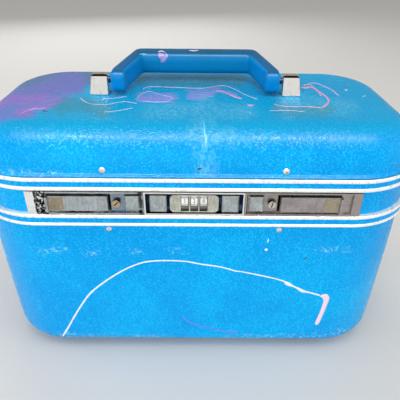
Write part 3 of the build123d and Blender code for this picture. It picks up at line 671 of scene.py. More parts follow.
def cut_out(mesh, cutters):
    """The mesh with each cutter's box taken out of it."""
    holder = bpy.data.objects.new("cut_holder", mesh)
    bpy.context.scene.collection.objects.link(holder)
    tools = []
    for cutter in cutters:
        tool = bpy.data.objects.new("cut_tool", cutter)
        bpy.context.scene.collection.objects.link(tool)
        tools.append(tool)
        modifier = holder.modifiers.new("cut", "BOOLEAN")
        modifier.object = tool
        modifier.operation = "DIFFERENCE"
        modifier.solver = "EXACT"
    result = bpy.data.meshes.new_from_object(holder.evaluated_get(bpy.context.evaluated_depsgraph_get()))
    for made in [holder] + tools:
        bpy.data.objects.remove(made)
    return result


def base_shell():
    inner = base_rings(WALL, SHELL_TOP, 14)
    upright = [case_ring(TRIM + BAND_WALL, z) for z in (SHELL_TOP, BAND_LOW)]
    outer = base_rings(0, BAND_LOW, 46)
    return cut_out(loft(inner[::-1] + upright + outer, "base_shell_moulded"), lock_windows())


# Marks on the shells and the handle


# Smears and strokes, as paths in pixels of the 400 x 400 photograph. A smear's path has one radius, and each
# point of a stroke has its own width.
SMEARS = {
    "dusk": [([(8, 90), (34, 79), (62, 76), (86, 75)], 11), ([(20, 96), (50, 88), (78, 80)], 9)],
    "violet": [([(-10, 112), (12, 103), (34, 98), (54, 91), (72, 83)], 13),
               ([(-8, 115), (14, 111), (30, 110)], 8)],
    "magenta": [([(2, 104), (14, 99), (30, 101), (44, 97)], 7),
                ([(18, 113), (30, 109), (42, 106), (58, 101)], 6)],
    "lilac": [([(141, 97), (152, 98), (166, 99), (173, 98)], 7.5),
              ([(192, 95), (202, 95), (211, 92)], 7.5), ([(212, 89), (224, 91), (236, 95)], 3.5)],
    # grime, and in its second path a painted shadow just under the handle's grip
    "grime_and_shadow": [([(60, 108), (78, 104), (92, 106), (104, 110)], 9), ([(140, 80), (190, 82), (240, 80)], 7),
              ([(276, 110), (300, 112), (330, 110)], 6), ([(10, 84), (26, 79)], 4)],
    # a pale haze down the lid's middle, and painted highlight patches along the lid's front edge
    "haze_and_highlight": [([(204, 104), (203, 122), (204, 140), (206, 168)], 11),
             ([(196, 132), (205, 138), (214, 136)], 9), ([(228, 132), (231, 142)], 6),
             ([(284, 104), (318, 106), (350, 108)], 8), ([(150, 112), (190, 110), (250, 112)], 7)],
    "worn": [([(40, 251), (66, 250)], 3), ([(88, 254), (98, 253)], 3), ([(130, 251), (140, 251)], 2),
             ([(168, 252), (182, 251)], 2), ([(318, 250), (350, 249)], 3),
             ([(60, 335), (110, 337.5), (170, 338)], 3),
             ([(230, 338), (300, 337), (345, 331)], 3), ([(6, 172), (60, 174)], 3)],
}


def segment_distance(points, a, b):
    along = np.array(b, float) - np.array(a, float)
    share = np.clip(((points - np.array(a)) @ along) / max(along @ along, 1e-9), 0, 1)
    return np.linalg.norm(points - (np.array(a) + share[:, None] * along), axis=1)


def paint_smears(piece, edges=()):
    """Stores each smear on the mesh's points, by how near they lie to its paths in the photograph."""
    mesh = piece.data
    places = np.array([v.co for v in mesh.vertices])
    normals = np.array([v.normal for v in mesh.vertices])
    pixels = to_pixels(places)
    seen = ((np.array(EYE) - places) * normals).sum(1) > 0
    for mark, paths in SMEARS.items():
        amount = np.zeros(len(places))
        for path, radius in paths:
            for a, b in zip(path, path[1:]):
                near = 1 - segment_distance(pixels, a, b) / (1.3 * radius)
                amount = np.maximum(amount, np.clip(near, 0, 1))
        amount *= seen
        if mark == "worn":
            for low, high in edges:
                band = np.clip(1 - np.abs(places[:, 2] - (low + high) / 2) / ((high - low) / 2), 0, 1)
                amount = np.maximum(amount, band * 0.8)
        layer = mesh.attributes.new(mark, "FLOAT", "POINT")
        layer.data.foreach_set("value", np.sqrt(amount).astype(np.float32))


def smooth_path(points, spacing=1.0):
    """A Catmull-Rom curve through points, sampled about every spacing."""
    points = [np.array(p, float) for p in points]
    padded = [2 * points[0] - points[1]] + points + [2 * points[-1] - points[-2]]
    found = []
    for k in range(len(points) - 1):
        p0, p1, p2, p3 = padded[k:k + 4]
        steps = max(2, int(np.linalg.norm((p2 - p1)[:2]) / spacing))
        for i in range(steps):
            t = i / steps
            found.append(0.5 * (2 * p1 + (p2 - p0) * t + (2 * p0 - 5 * p1 + 4 * p2 - p3) * t * t
                                + (3 * p1 - p0 - 3 * p2 + p3) * t ** 3))
    return found + [points[-1]]


RAISED = 0.22 * MM
SUNK = 0.12 * MM
CROSS_SECTION = [(-1.0, -1.0), (-1.0, 0.0), (-0.6, 0.8), (0.0, 1.0), (0.6, 0.8), (1.0, 0.0), (1.0, -1.0)]


def stroke(name, path, surface, material, body):
    """A stroke of paint that lies on a surface: path holds x, y and width in the photograph's pixels."""
    hits = []
    for x, y, width in smooth_path(path):
        ray = pixel_ray(x, y)
        place, normal, _, away = surface.ray_cast(EYE, ray)
        if place is not None:
            if normal.dot(ray) > 0:
                normal = -normal
            jitter = 1 + 0.22 * noise.noise(Vector((x * 0.45, y * 0.45, len(path))))
            hits.append((place, normal, max(width, 0.3) * jitter * away / FOCAL / 2))
    points, faces = [], []
    for k, (place, normal, half) in enumerate(hits):
        before, after = hits[max(k - 1, 0)][0], hits[min(k + 1, len(hits) - 1)][0]
        across = (after - before).cross(normal).normalized()
        end = min(k, len(hits) - 1 - k) / 2
        half *= min(1, 0.35 + 0.65 * end)
        for side, height in CROSS_SECTION:
            lift = height * (RAISED if height > 0 else SUNK)
            points.append(place + across * side * half + normal * lift)
    count = len(CROSS_SECTION)
    for k in range(len(hits) - 1):
        faces += quads(k, count)
    faces += [tuple(range(count)), tuple((len(hits) - 1) * count + i for i in range(count))]
    return add_piece(name, mesh_from(points, faces, name), material, body)


def surface_of(piece):
    graph = bpy.context.evaluated_depsgraph_get()
    return BVHTree.FromObject(piece.evaluated_get(graph), graph)


BASE_STROKES = {
    "long_curve": ("white", [
        (62.5, 336.5, 1.3), (68, 328, 1.7), (76.5, 313, 1.6), (88, 296, 1.7), (98, 286.7, 1.7),
        (109.7, 278.4, 1.6), (122.4, 270.8, 1.6), (135.2, 265, 1.5), (146.7, 261.8, 1.6), (164.5, 260.6, 1.6),
        (185, 261.4, 1.5),
        (200, 264, 1.5), (220.4, 267, 1.5), (235.7, 271, 1.3), (242, 271.8, 1.2), (261, 275.6, 1.6),
        (271.4, 277.8, 1.5), (283, 281, 1.6), (287, 283.4, 4.0), (290, 285, 3.6), (294.4, 286.8, 1.8),
        (300, 289.6, 3.0), (303, 291.3, 3.2), (309.7, 292.6, 1.7), (320, 295.4, 2.2)]),
    "thick_drop": ("blush", [
        (320, 296, 2.5), (325, 296.6, 6.0), (326.2, 300, 5.4), (323.7, 307.8, 4.0), (320, 316.7, 4.0),
        (316, 325, 3.8)]),
    "violet_stroke": ("violet", [
        (182.4, 316, 1.2), (190, 322.4, 1.8), (200, 325.9, 1.8), (210, 328, 1.6), (223, 331, 2.0),
        (230.6, 332.2, 2.4), (238, 332.3, 2.6)]),
    "white_dot": ("white", [(264.6, 249.7, 2.6), (266.3, 249.7, 4.0), (268, 249.7, 2.6)]),
    "dark_nick": ("dark", [(303.6, 259.6, 1.0), (305.3, 258.4, 2.0), (307, 257, 1.2)]),
    "pale_tick": ("white", [(267.4, 243, 0.7), (268.2, 240.5, 1.3), (268.4, 238.6, 0.8)]),
}

LID_STROKES = {
    "pink_line": ("lavender", [
        (143, 89, 1.0), (146, 87.4, 1.2), (155, 86.6, 1.2), (180, 87.6, 1.1), (200, 88.2, 1.1),
        (212, 87, 1.0), (222, 85.6, 1.4), (232, 88, 1.0), (245, 94.5, 1.2), (257, 99, 1.0)]),
    "lilac_edge": ("lavender", [
        (137, 99, 1.0), (141, 94, 1.4), (150, 91.6, 1.0), (160, 94.6, 1.2), (172, 97.4, 1.4), (168, 101, 1.0),
        (156, 102, 1.2), (142, 101, 1.2)]),
    "pink_stroke": ("pink", [
        (216, 90.8, 1.6), (222, 91.4, 2.0), (230, 94.4, 2.4), (236, 97, 3.4), (241.6, 98.4, 3.4)]),
    "pink_dot": ("pink", [(247.6, 104.6, 3.0), (250.6, 105.2, 5.0), (253.6, 105, 3.4)]),
    "pink_crumb": ("pink", [(250, 112.6, 1.4), (251, 113.4, 1.8)]),
    "scribble_one": ("lavender", [
        (80, 97.6, 1.6), (84, 101, 1.4), (90, 103.6, 1.0), (98, 104.6, 1.0), (107, 104.4, 1.2),
        (118, 102.4, 1.0), (126, 101.6, 1.2), (137, 103.4, 1.0)]),
    "scribble_two": ("lavender", [(103, 98.8, 1.0), (114, 98.2, 1.0), (127, 96.4, 1.0)]),
    "scribble_three": ("lavender", [(104, 112, 0.8), (116, 111, 1.0), (133, 107.8, 1.2)]),
    "left_streak": ("orchid", [
        (21, 113.5, 1.6), (27, 110.6, 2.2), (34, 109, 1.4), (41, 108.6, 1.8), (47, 107, 1.4)]),
    "left_streak_low": ("orchid", [(27, 111.6, 1.6), (30, 109.4, 1.6), (38, 107.4, 1.4)]),
    "dark_speck": ("dark", [(42.6, 110.2, 1.6), (44.8, 111.6, 2.4), (48, 110.8, 1.8)]),
    "loop": ("pink", [
        (300.8, 87, 3.2), (305, 87.6, 4.4), (311, 87, 3.4), (316, 89.4, 2.4), (320, 92.6, 2.6),
        (326, 96.6, 2.0), (328.6, 101, 2.0), (325.4, 105.6, 2.2), (320, 107.4, 2.4), (308, 106.6, 1.2),
        (297, 106.6, 1.2),
        (284, 106.2, 1.2), (274, 104.4, 1.0)]),
    "loop_inner": ("pink", [
        (303, 85.4, 1.4), (309, 84.4, 1.6), (313, 86.6, 1.2), (318, 91.4, 1.2), (321, 96, 1.0)]),
    "arc": ("lavender", [
        (308.4, 83.6, 1.2), (314.8, 83, 1.8), (322.4, 85.6, 1.8), (331.4, 89.6, 1.8), (336, 93.4, 1.8),
        (339.7, 96.4, 1.4)]),
    "speck_one": ("white", [(344.6, 90.2, 1.2), (346, 90, 2.0), (347.6, 89.8, 1.2)]),
    "speck_two": ("white", [(362.6, 96.6, 0.9), (366, 95.6, 1.0)]),
    "center_speck": ("dark", [(197, 169.6, 1.2), (199, 168.8, 2.4), (202, 168.6, 1.6)]),
    "pale_streak_one": ("pale", [(205.4, 150, 0.8), (206, 141, 1.6), (204.6, 132, 1.8), (204, 122, 1.0)]),
    "faint_line": ("lavender", [(270, 110.6, 0.8), (283, 110.4, 1.0), (305, 111.4, 0.8)]),
}

HANDLE_STROKES = {
    "handle_blot": ("lilac", [
        (158.6, 52.6, 3.0), (160.6, 55, 6.4), (163, 57.6, 7.6), (162.8, 60, 5.0), (161, 62.4, 2.0)]),
    "handle_blot_top": ("blush", [(158, 51.6, 1.4), (161.4, 51, 2.2), (165, 52.2, 1.2)]),
    "handle_blot_side": ("lilac", [(165.6, 52.6, 1.2), (166.8, 55.6, 2.6), (166.4, 58.6, 1.2)]),
    "handle_pink": ("blush", [(189, 50.4, 1.6), (194, 50.6, 2.4), (199, 50.2, 1.6)]),
    "handle_scuff": ("pale", [(139, 54.4, 0.8), (143, 54, 1.2), (147, 54.4, 0.8)]),
}

# Paint: its colour, the colour under it, and how much of that shows in thin places
PAINT_COLORS = {
    "white": ((0.78, 0.80, 0.86), AZURE, 0.15),
    "blush": ((0.86, 0.64, 0.74), AZURE, 0.15),
    "violet": ((0.10, 0.20, 0.72), AZURE, 0.4),
    "dark": ((0.02, 0.035, 0.06), AZURE, 0.1),
    "lavender": ((0.52, 0.46, 0.74), (0.02, 0.33, 0.55), 0.75),
    "pink": ((0.70, 0.36, 0.58), (0.05, 0.30, 0.52), 0.5),
    "orchid": ((0.55, 0.26, 0.66), (0.20, 0.20, 0.45), 0.6),
    "lilac": ((0.30, 0.26, 0.60), (0.02, 0.16, 0.42), 0.7),
    "pale": ((0.14, 0.62, 0.90), AZURE, 0.85),
}


# Small parts of the lock


KNURL_PITCH = 1.5 * MM
KNURL_DEPTH = 0.42 * MM


def knurled_grip(word):
    """The finger grip's insert: rows of small pyramids, crossed."""
    low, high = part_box(f"slider_grip_{word}")
    step = KNURL_PITCH / 6
    count_x = int(round((high.x - low.x) / step))
    count_z = int(round((high.z - low.z) / step))
    grid, faces = [], []
    for i in range(count_x + 1):
        for j in range(count_z + 1):
            x = low.x + (high.x - low.x) * i / count_x
            z = low.z + (high.z - low.z) * j / count_z
            ridge = 2 * min(abs(((x + z) / KNURL_PITCH) % 1 - 0.5), abs(((x - z) / KNURL_PITCH) % 1 - 0.5))
            grid.append((x, low.y + KNURL_DEPTH * (1 - min(ridge * 1.3, 1)), z))
    stride = count_z + 1
    for i in range(count_x):
        for j in range(count_z):
            a = i * stride + j
            faces.append((a, a + stride, a + stride + 1, a + 1))
    rim = [i * stride for i in range(count_x + 1)] + [count_x * stride + j for j in range(1, stride)]
    rim += [i * stride + count_z for i in range(count_x - 1, -1, -1)] + list(range(count_z - 1, 0, -1))
    first = len(grid)
    grid += [(grid[k][0], high.y, grid[k][2]) for k in rim]
    count = len(rim)
    faces += [(rim[k], rim[(k + 1) % count], first + (k + 1) % count, first + k) for k in range(count)]
    faces.append(tuple(range(first, len(grid))))
    return mesh_from(grid, faces, "grip_knurl")


DIAL_DIGITS = "0123456789"
DIGIT_HEIGHT = 2.838 * MM
CAPITAL_SHARE = 0.72
DIGIT_DEPTH = 0.12 * MM
FIELD_HEIGHT = 4.3 * MM
FIELD_MARGIN = 0.3 * MM
# The first digit of each dial, and how far it is turned from the front
DIAL_OFFSETS = (5, 2, 8)
DIAL_TURN = math.radians(-21)


def text_mesh(text):
    data = bpy.data.curves.new("digit_outline", "FONT")
    data.body = text
    data.size = DIGIT_HEIGHT / CAPITAL_SHARE
    data.extrude = DIGIT_DEPTH / 2
    data.align_x = "CENTER"
    data.align_y = "CENTER"
    holder = bpy.data.objects.new("digit_holder", data)
    bpy.context.scene.collection.objects.link(holder)
    mesh = bpy.data.meshes.new_from_object(holder.evaluated_get(bpy.context.evaluated_depsgraph_get()))
    bpy.data.objects.remove(holder)
    return mesh


def joined(meshes, name):
    shape = bmesh.new()
    for mesh, matrix in meshes:
        part = mesh.copy()
        part.transform(matrix)
        shape.from_mesh(part)
        bpy.data.meshes.remove(part)
    mesh = bpy.data.meshes.new(name)
    shape.to_mesh(mesh)
    shape.free()
    return mesh


FIELD_THICKNESS = 0.06 * MM


def dial_field(low, high):
    """A thin number field, bent round the dial, with bevelled corners."""
    radius = (high.z - low.z) / 2
    half = (high.x - low.x) / 2 - FIELD_MARGIN
    points, faces = [], []
    steps = 6
    for i in range(steps + 1):
        angle = (i / steps - 0.5) * FIELD_HEIGHT / radius
        for x, lift in ((-half, 0), (-half + FIELD_THICKNESS, FIELD_THICKNESS),
                        (half - FIELD_THICKNESS, FIELD_THICKNESS), (half, 0)):
            points.append((x, -math.cos(angle) * (radius + lift), math.sin(angle) * (radius + lift)))
    for k in range(steps):
        faces += quads(k, 4)
    faces += [(0, 1, 2, 3), tuple(steps * 4 + k for k in range(4))]
    return mesh_from(points, faces, "dial_field")


def dial_marks(number, white, ink):
    """The white number fields of one dial and the digits printed on them."""
    node = f"dial_{number}"
    body = ("dial_one", "dial_two", "dial_three")[number - 1]
    low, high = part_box(node)
    center = (low + high) / 2
    radius = (high.z - low.z) / 2
    field = dial_field(low, high)
    fields, digits = [], []
    for k in range(len(DIAL_DIGITS)):
        digit = DIAL_DIGITS[(k + DIAL_OFFSETS[number - 1]) % len(DIAL_DIGITS)]
        turn = DIAL_TURN - 2 * math.pi * k / len(DIAL_DIGITS)
        around = Matrix.Translation(center) @ Matrix.Rotation(turn, 4, "X")
        fields.append((field, around))
        upright = Matrix.Translation((0, -radius - FIELD_THICKNESS, 0)) @ Matrix.Rotation(math.pi / 2, 4, "X")
        digits.append((text_mesh(digit), around @ upright))
    add_piece(f"{node}_fields", joined(fields, "dial_fields"), white, body)
    add_piece(f"{node}_digits", joined(digits, "dial_digits"), ink, body, smooth=False)


# Handle


HUB_LENGTH = 12.0 * MM
HUB_ROUND = 6.0 * MM
HUB_SIDE_ROUND = 3.2 * MM
HANDLE_HALF = 9.0 * MM
HANDLE_BEND = 3.0 * MM
GRIP_HALF = 9.7 * MM
HANDLE_LEAN = math.radians(5.6)
GRIP_OUTER = (55.0 * MM, 56.0 * MM)
GRIP_INNER = (47.0 * MM, 35.8 * MM)
GRIP_POWER = 3.3
HUB_POWER = 5.0
PIVOT_Z = 227.5 * MM
SECTION_POINTS = 40
# Points of each straight run of the handle's plan, and of the bend after it
PLAN_COUNTS = [(8, 6), (12, 10), (18, 0)]
# Depths behind the hubs' front faces at which their rounding is drawn
HUB_FACE_DEPTHS = [depth * MM for depth in (0.0, 0.15, 0.5, 1.1, 2.0, 3.2, 4.6)]


def rounded_plan(corners, counts):
    """Points along a plan line whose inner corners are rounded: corners are (x, y, radius)."""
    points = [Vector(c[:2]) for c in corners]
    ends = [(points[0], points[0])]
    for k in range(1, len(points) - 1):
        back = (points[k - 1] - points[k]).normalized()
        on = (points[k + 1] - points[k]).normalized()
        cut = corners[k][2] / math.tan(back.angle(on) / 2)
        ends.append((points[k] + back * cut, points[k] + on * cut))
    ends.append((points[-1], points[-1]))
    found = []
    for k in range(1, len(points)):
        run, bend = counts[k - 1]
        start, finish = ends[k - 1][1], ends[k][0]
        found += [start.lerp(finish, i / run) for i in range(run)]
        for i in range(bend):
            t = i / bend
            found.append(finish * (1 - t) ** 2 + points[k] * (2 * t * (1 - t)) + ends[k][1] * t * t)
    return found + [points[-1]]


def handle_section(inner, outer, half, power):
    """A ring round the bar: a rounded rectangle that nears an ellipse as its power falls."""
    middle = (inner + outer) / 2
    across = (outer - inner) / 2
    points = []
    for i in range(SECTION_POINTS):
        a = 2 * math.pi * i / SECTION_POINTS
        u, v = math.cos(a), math.sin(a)
        reach = (abs(u) ** power + abs(v) ** power) ** (-1 / power)
        place = middle + across * (u * reach)
        points.append((place.x, place.y, PIVOT_Z + half * v * reach))
    return points


def rounding(depth, radius):
    """How far a rounded end lies inside its side at a depth from its face."""
    left = radius - min(depth, radius)
    return radius - math.sqrt(max(radius * radius - left * left, 0))


def handle_mesh():
    """The bar from hub to hub along its arms and grip: square hubs, flat arms, a round grip."""
    hub_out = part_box("handle")[1].x
    hub_in = hub_out - HUB_LENGTH
    front = -HANDLE_HALF
    outer = rounded_plan([(hub_out, front, 0), (hub_out, HANDLE_BEND, 14 * MM), (*GRIP_OUTER, 9 * MM),
                          (0, GRIP_OUTER[1], 0)], PLAN_COUNTS)
    inner = rounded_plan([(hub_in, front, 0), (hub_in, HANDLE_BEND, 12 * MM), (*GRIP_INNER, 3 * MM),
                          (0, GRIP_INNER[1], 0)], PLAN_COUNTS)
    rings = []
    for depth in HUB_FACE_DEPTHS:
        side = rounding(depth, HUB_SIDE_ROUND)
        low, high = Vector((hub_in + side, front + depth)), Vector((hub_out - side, front + depth))
        rings.append(handle_section(low, high, HANDLE_HALF - rounding(depth, HUB_ROUND), HUB_POWER))
    hub_points = sum(PLAN_COUNTS[0])
    for k, (a, b) in enumerate(zip(inner, outer)):
        if b.y > front + HUB_ROUND - 0.2 * MM:
            along = eased((k - hub_points) / hub_points)
            half = HANDLE_HALF + (GRIP_HALF - HANDLE_HALF) * along
            rings.append(handle_section(a, b, half, HUB_POWER + (GRIP_POWER - HUB_POWER) * along))
    mirrored = [[(-x, y, z) for x, y, z in section] for section in rings[-2::-1]]
    mesh = loft(rings + mirrored, "handle_moulded")
    pivot = Matrix.Translation((0, 0, PIVOT_Z))
    mesh.transform(pivot @ Matrix.Rotation(HANDLE_LEAN, 4, "X") @ pivot.inverted())
    return mesh


LUG_ROUND = 1.6 * MM
LUG_LEAN = 2.3 * MM
LUG_FRONT_LEAN = 2.9 * MM
LUG_REAR_LEAN = 1.2 * MM
LUG_LENGTH = 16 * MM
LUG_COUNTS = (8, 8, 6)
LUG_LEVELS = 24


def bracket_mesh(side):
    """One lug on the lid: its inner side upright, its other sides leaning in, every edge rounded."""
    low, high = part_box("handle_brackets")
    rings = []
    for k in range(LUG_LEVELS + 1):
        share = k / LUG_LEVELS
        z = low.z + (high.z - low.z) * share
        tuck = rounding(high.z - z, LUG_ROUND)
        x_low, x_high = high.x - LUG_LENGTH + tuck, high.x - LUG_LEAN * share - tuck
        y_low, y_high = low.y + LUG_FRONT_LEAN * share + tuck, high.y - LUG_REAR_LEAN * share - tuck
        middle_x, middle_y = (x_low + x_high) / 2, (y_low + y_high) / 2
        section = ring((x_high - x_low) / 2, (y_high - y_low) / 2, LUG_ROUND, z, LUG_COUNTS)
        rings.append([(side * (x + middle_x), y + middle_y, z) for x, y, _ in section])
    center = np.mean(rings[-1], axis=0)
    crown = np.array((0, 0, 0.1 * MM))
    rings.append([tuple(center + (np.array(p) - center) * 0.5 + crown) for p in rings[-1]])
    return loft(rings, "bracket_lug")


# Linings


LINING_GAP = 0.3 * MM
LINING = 1.5 * MM
LINING_SINK = 0.15 * MM
LINING_FOLD = 0.55 * MM


def base_lining_mesh():
    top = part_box("base_lining")[1].z
    inner_extra = WALL + LINING_GAP + LINING

    def rings(extra, steps):
        edge = BASE_EDGE - extra
        low = FLOOR_Z + extra

        def inset(z):
            return TRIM + extra + DRAW_IN * clamped((DRAFT_START - z) / (DRAFT_START - low))

        found = [case_ring(inset(z), z) for z in spread(top, low + edge, steps)]
        start = inset(low + edge)
        for a in arc(0, 90, 10)[1:]:
            found.append(case_ring(start + edge * (1 - math.cos(a)), low + edge * (1 - math.sin(a))))
        return found + cap(found[-1])

    outer = rings(WALL + LINING_GAP + LINING_SINK, 10)
    mesh = loft(outer[::-1] + rings(inner_extra, 40), "base_lining_cloth")
    first = len(outer) * len(outer[0])
    for vertex in mesh.vertices:
        x, y, z = vertex.co
        if vertex.index >= first - 1 and z < top - 1.5 * MM:
            fold = noise.noise(Vector((x * 38, y * 38, z * 9)))
            fold += 0.5 * noise.noise(Vector((x * 90, y * 90, z * 30)))
            lift = LINING_FOLD * (fold - 0.8)
            if z < FLOOR_Z + inner_extra + 0.5 * MM:
                vertex.co.z -= lift * 0.8
            else:
                vertex.co += Vector((x / HALF_X, y / HALF_Y, 0)) * lift
    return mesh


PLEAT = 6.4 * MM
PLEAT_DEPTH = 1.3 * MM
LID_LINING_INSET = HALF_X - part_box("lid_lining")[1].x
LID_LINING_EDGE = 20.0 * MM
PLEAT_STEP = 0.85 * MM
MIRROR_EDGE = 3.0 * MM


def dense_ring(inset, z):
    return ring(HALF_X - inset, HALF_Y - inset, CORNER - inset, z, [4 * count for count in RING_COUNTS])


def pleated(inset, z, slope, depth):
    """A ring of the lining with its pleats: slope is 0 on the wall and 90 degrees on the ceiling."""
    plain = dense_ring(inset, z)
    within = dense_ring(inset + MM, z)
    points = []
    for k, (here, there) in enumerate(zip(plain, within)):
        x, y, _ = here
        wander = noise.noise(Vector((x * 30, y * 30, 1.7)))
        phase = k * PLEAT_STEP / PLEAT + 0.45 * wander
        fold = (0.5 + 0.5 * math.sin(2 * math.pi * phase)) ** 0.8
        step = depth * (fold * (1 + 0.5 * noise.noise(Vector((x * 60, y * 60, 5.1)))))
        inward = (Vector(there) - Vector(here)).normalized() * step * math.cos(slope)
        points.append((x + inward.x, y + inward.y, z - step * math.sin(slope)))
    return points


def lid_lining_mesh():
    """Satin gathered round the lid, from its rim up the wall and over the ceiling to the mirror's frame."""
    low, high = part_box("lid_lining")
    frame_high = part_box("mirror_frame")[1]
    outside = [dense_ring(LID_LINING_INSET, z) for z in spread(low.z, high.z - LID_LINING_EDGE, 3)]
    for a in arc(0, 90, 8)[1:]:
        outside.append(dense_ring(LID_LINING_INSET + LID_LINING_EDGE * (1 - math.cos(a)),
                                  high.z - LID_LINING_EDGE * (1 - math.sin(a))))
    inset = LID_LINING_INSET + LINING
    edge = LID_LINING_EDGE - LINING
    top = high.z - LINING
    inside = []
    steps = 8
    for k, z in enumerate(spread(low.z, top - edge, steps)):
        inside.append(pleated(inset, z, 0.0, PLEAT_DEPTH * min(1, 0.25 + k / steps)))
    for a in arc(0, 90, 12)[1:]:
        inside.append(pleated(inset + edge * (1 - math.cos(a)), top - edge * (1 - math.sin(a)), a,
                              PLEAT_DEPTH))
    start = inset + edge
    reach = HALF_Y - frame_high.y - MIRROR_EDGE - start
    for k in range(1, 11):
        share = k / 10
        inside.append(pleated(start + reach * share, top, math.pi / 2, PLEAT_DEPTH * (1 - share)))
    return loft(outside[::-1] + inside, "lid_lining_cloth")


POCKET_FOLD = 7.0 * MM
POCKET_THICKNESS = 0.6 * MM
POCKET_BULGE = 8.5 * MM
POCKET_FOLD_DEPTH = 1.35 * MM
ELASTIC = 8.0 * MM
RUCHE = 0.45 * MM
SEAM_DEPTH = 0.7 * MM


def pocket_mesh():
    """A gathered satin pocket on the rear lining: loose folds that tighten towards the elastic at its top."""
    low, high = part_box("base_pocket")
    across, up = 330, 44
    front, faces = [], []
    for j in range(up + 1):
        v = j / up
        z = low.z + (high.z - low.z) * v
        from_top = high.z - z
        elastic = clamped((ELASTIC - from_top) / (2 * MM))
        seam = math.exp(-((from_top - ELASTIC) / (1.2 * MM)) ** 2)
        for i in range(across + 1):
            u = i / across
            x = low.x + (high.x - low.x) * u
            edge = min(u, 1 - u) * 2
            swell = math.sin(math.pi * min(v * 0.62 + 0.02, 1)) ** 0.8
            belly = min(1, edge * 14) ** 0.6 * (0.35 + 0.65 * swell) * min(1, v * 9) ** 0.7
            wander = noise.noise(Vector((x * 35, z * 22, 3.3)))
            fold = math.sin(2 * math.pi * (x / POCKET_FOLD + 0.8 * wander))
            fold *= (0.25 + 0.75 * v) * (1 + 0.5 * noise.noise(Vector((x * 70, z * 16, 9.1))))
            ruche = math.sin(2 * math.pi * x / (POCKET_FOLD * 0.5)) * RUCHE
            out = POCKET_BULGE * belly * (1 - 0.25 * elastic) - SEAM_DEPTH * seam
            loose = POCKET_FOLD_DEPTH * fold * (1 - elastic) + ruche * elastic
            out += loose * min(1, edge * 20) * min(1, v * 6)
            front.append(Vector((x, high.y - MM - max(out, 0.0), z)))
    stride = across + 1
    for j in range(up):
        for i in range(across):
            a = j * stride + i
            faces.append((a, a + 1, a + 1 + stride, a + stride))
    count = len(front)
    back = [p + Vector((0, POCKET_THICKNESS, 0)) for p in front]
    faces += [tuple(count + k for k in face[::-1]) for face in faces]
    border = list(range(stride)) + [j * stride + across for j in range(1, up + 1)]
    border += [up * stride + i for i in range(across - 1, -1, -1)]
    border += [j * stride for j in range(up - 1, 0, -1)]
    faces += [(a, count + a, count + b, b) for a, b in zip(border, border[1:] + border[:1])]
    return mesh_from(front + back, faces, "pocket_cloth")


def set_material(names, material):
    for name in names.split():
        data = NODES[name].data
        if len(data.materials) == 0:
            data.materials.append(material)
        for k in range(len(data.materials)):
            data.materials[k] = material


def key_material(node, color, side_tone):
    """A key plug: its face, its side as far as it stands out, a dark foot of painted shade and a dark
    keyhole.
    """
    low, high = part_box(node)
    marks = [
        (side_tone, 1.0, 0.08 * MM, [("Y", PLUG_FACE + 0.2 * MM, 0.0)]),
        # painted shade: the plug's side near the plate is near black
        ((0.02, 0.02, 0.02), 0.95, 0.06 * MM, [("Y", PLUG_FACE + 1.1 * MM, 0.0)]),
        ((0.01, 0.008, 0.006), 1.0, 0.05 * MM, [
            ("Y", PLUG_FACE + 0.12 * MM, 0.0), ("X", low.x + KEYHOLE_RIM, high.x - KEYHOLE_RIM),
            ("Z", low.z + KEYHOLE_RIM, high.z - KEYHOLE_RIM)]),
    ]
    return metal_material(f"{node}_metal", color, 0.3, 700.0, (0.12, 0.08, 0.05), 0.65, marks)


PLUG_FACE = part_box("key_plug_left")[0].y
KEYHOLE_RIM = 0.9 * MM
SATIN = {
    "slider_left": ("satin_left", (0.47, 0.525, 0.55)),
    "slider_right": ("satin_right", (0.425, 0.39, 0.395)),
    "lock_pads": ("satin_pads", (0.49, 0.55, 0.555)),
    "dial_bezel": ("satin_bezel", (0.63, 0.64, 0.56)),
}


def dress_latches_and_lock():
    set_material("lock_plate_left", plate_material("nickel_left", False))
    set_material("lock_plate_right", plate_material("nickel_right", True))
    set_material("lock_plate_center", center_plate_material())
    for node, (name, color) in SATIN.items():
        set_material(node, satin_nickel(name, color))
    set_material("key_plug_left", key_material("key_plug_left", (0.60, 0.43, 0.26), (0.33, 0.38, 0.42)))
    set_material("key_plug_right", key_material("key_plug_right", (0.66, 0.63, 0.58), (0.36, 0.34, 0.34)))
    set_material("dial_1 dial_2 dial_3", rubbed_plastic("dial_body", (0.085, 0.07, 0.06), 0.4))


STEEL_NODES = """dial_frame dial_shaft latch_housing_left latch_housing_right housing_screws latch_bolt_left
    latch_bolt_right latch_spring_left latch_spring_right lid_keeper_left lid_keeper_right hinge_pins
    bracket_screws"""


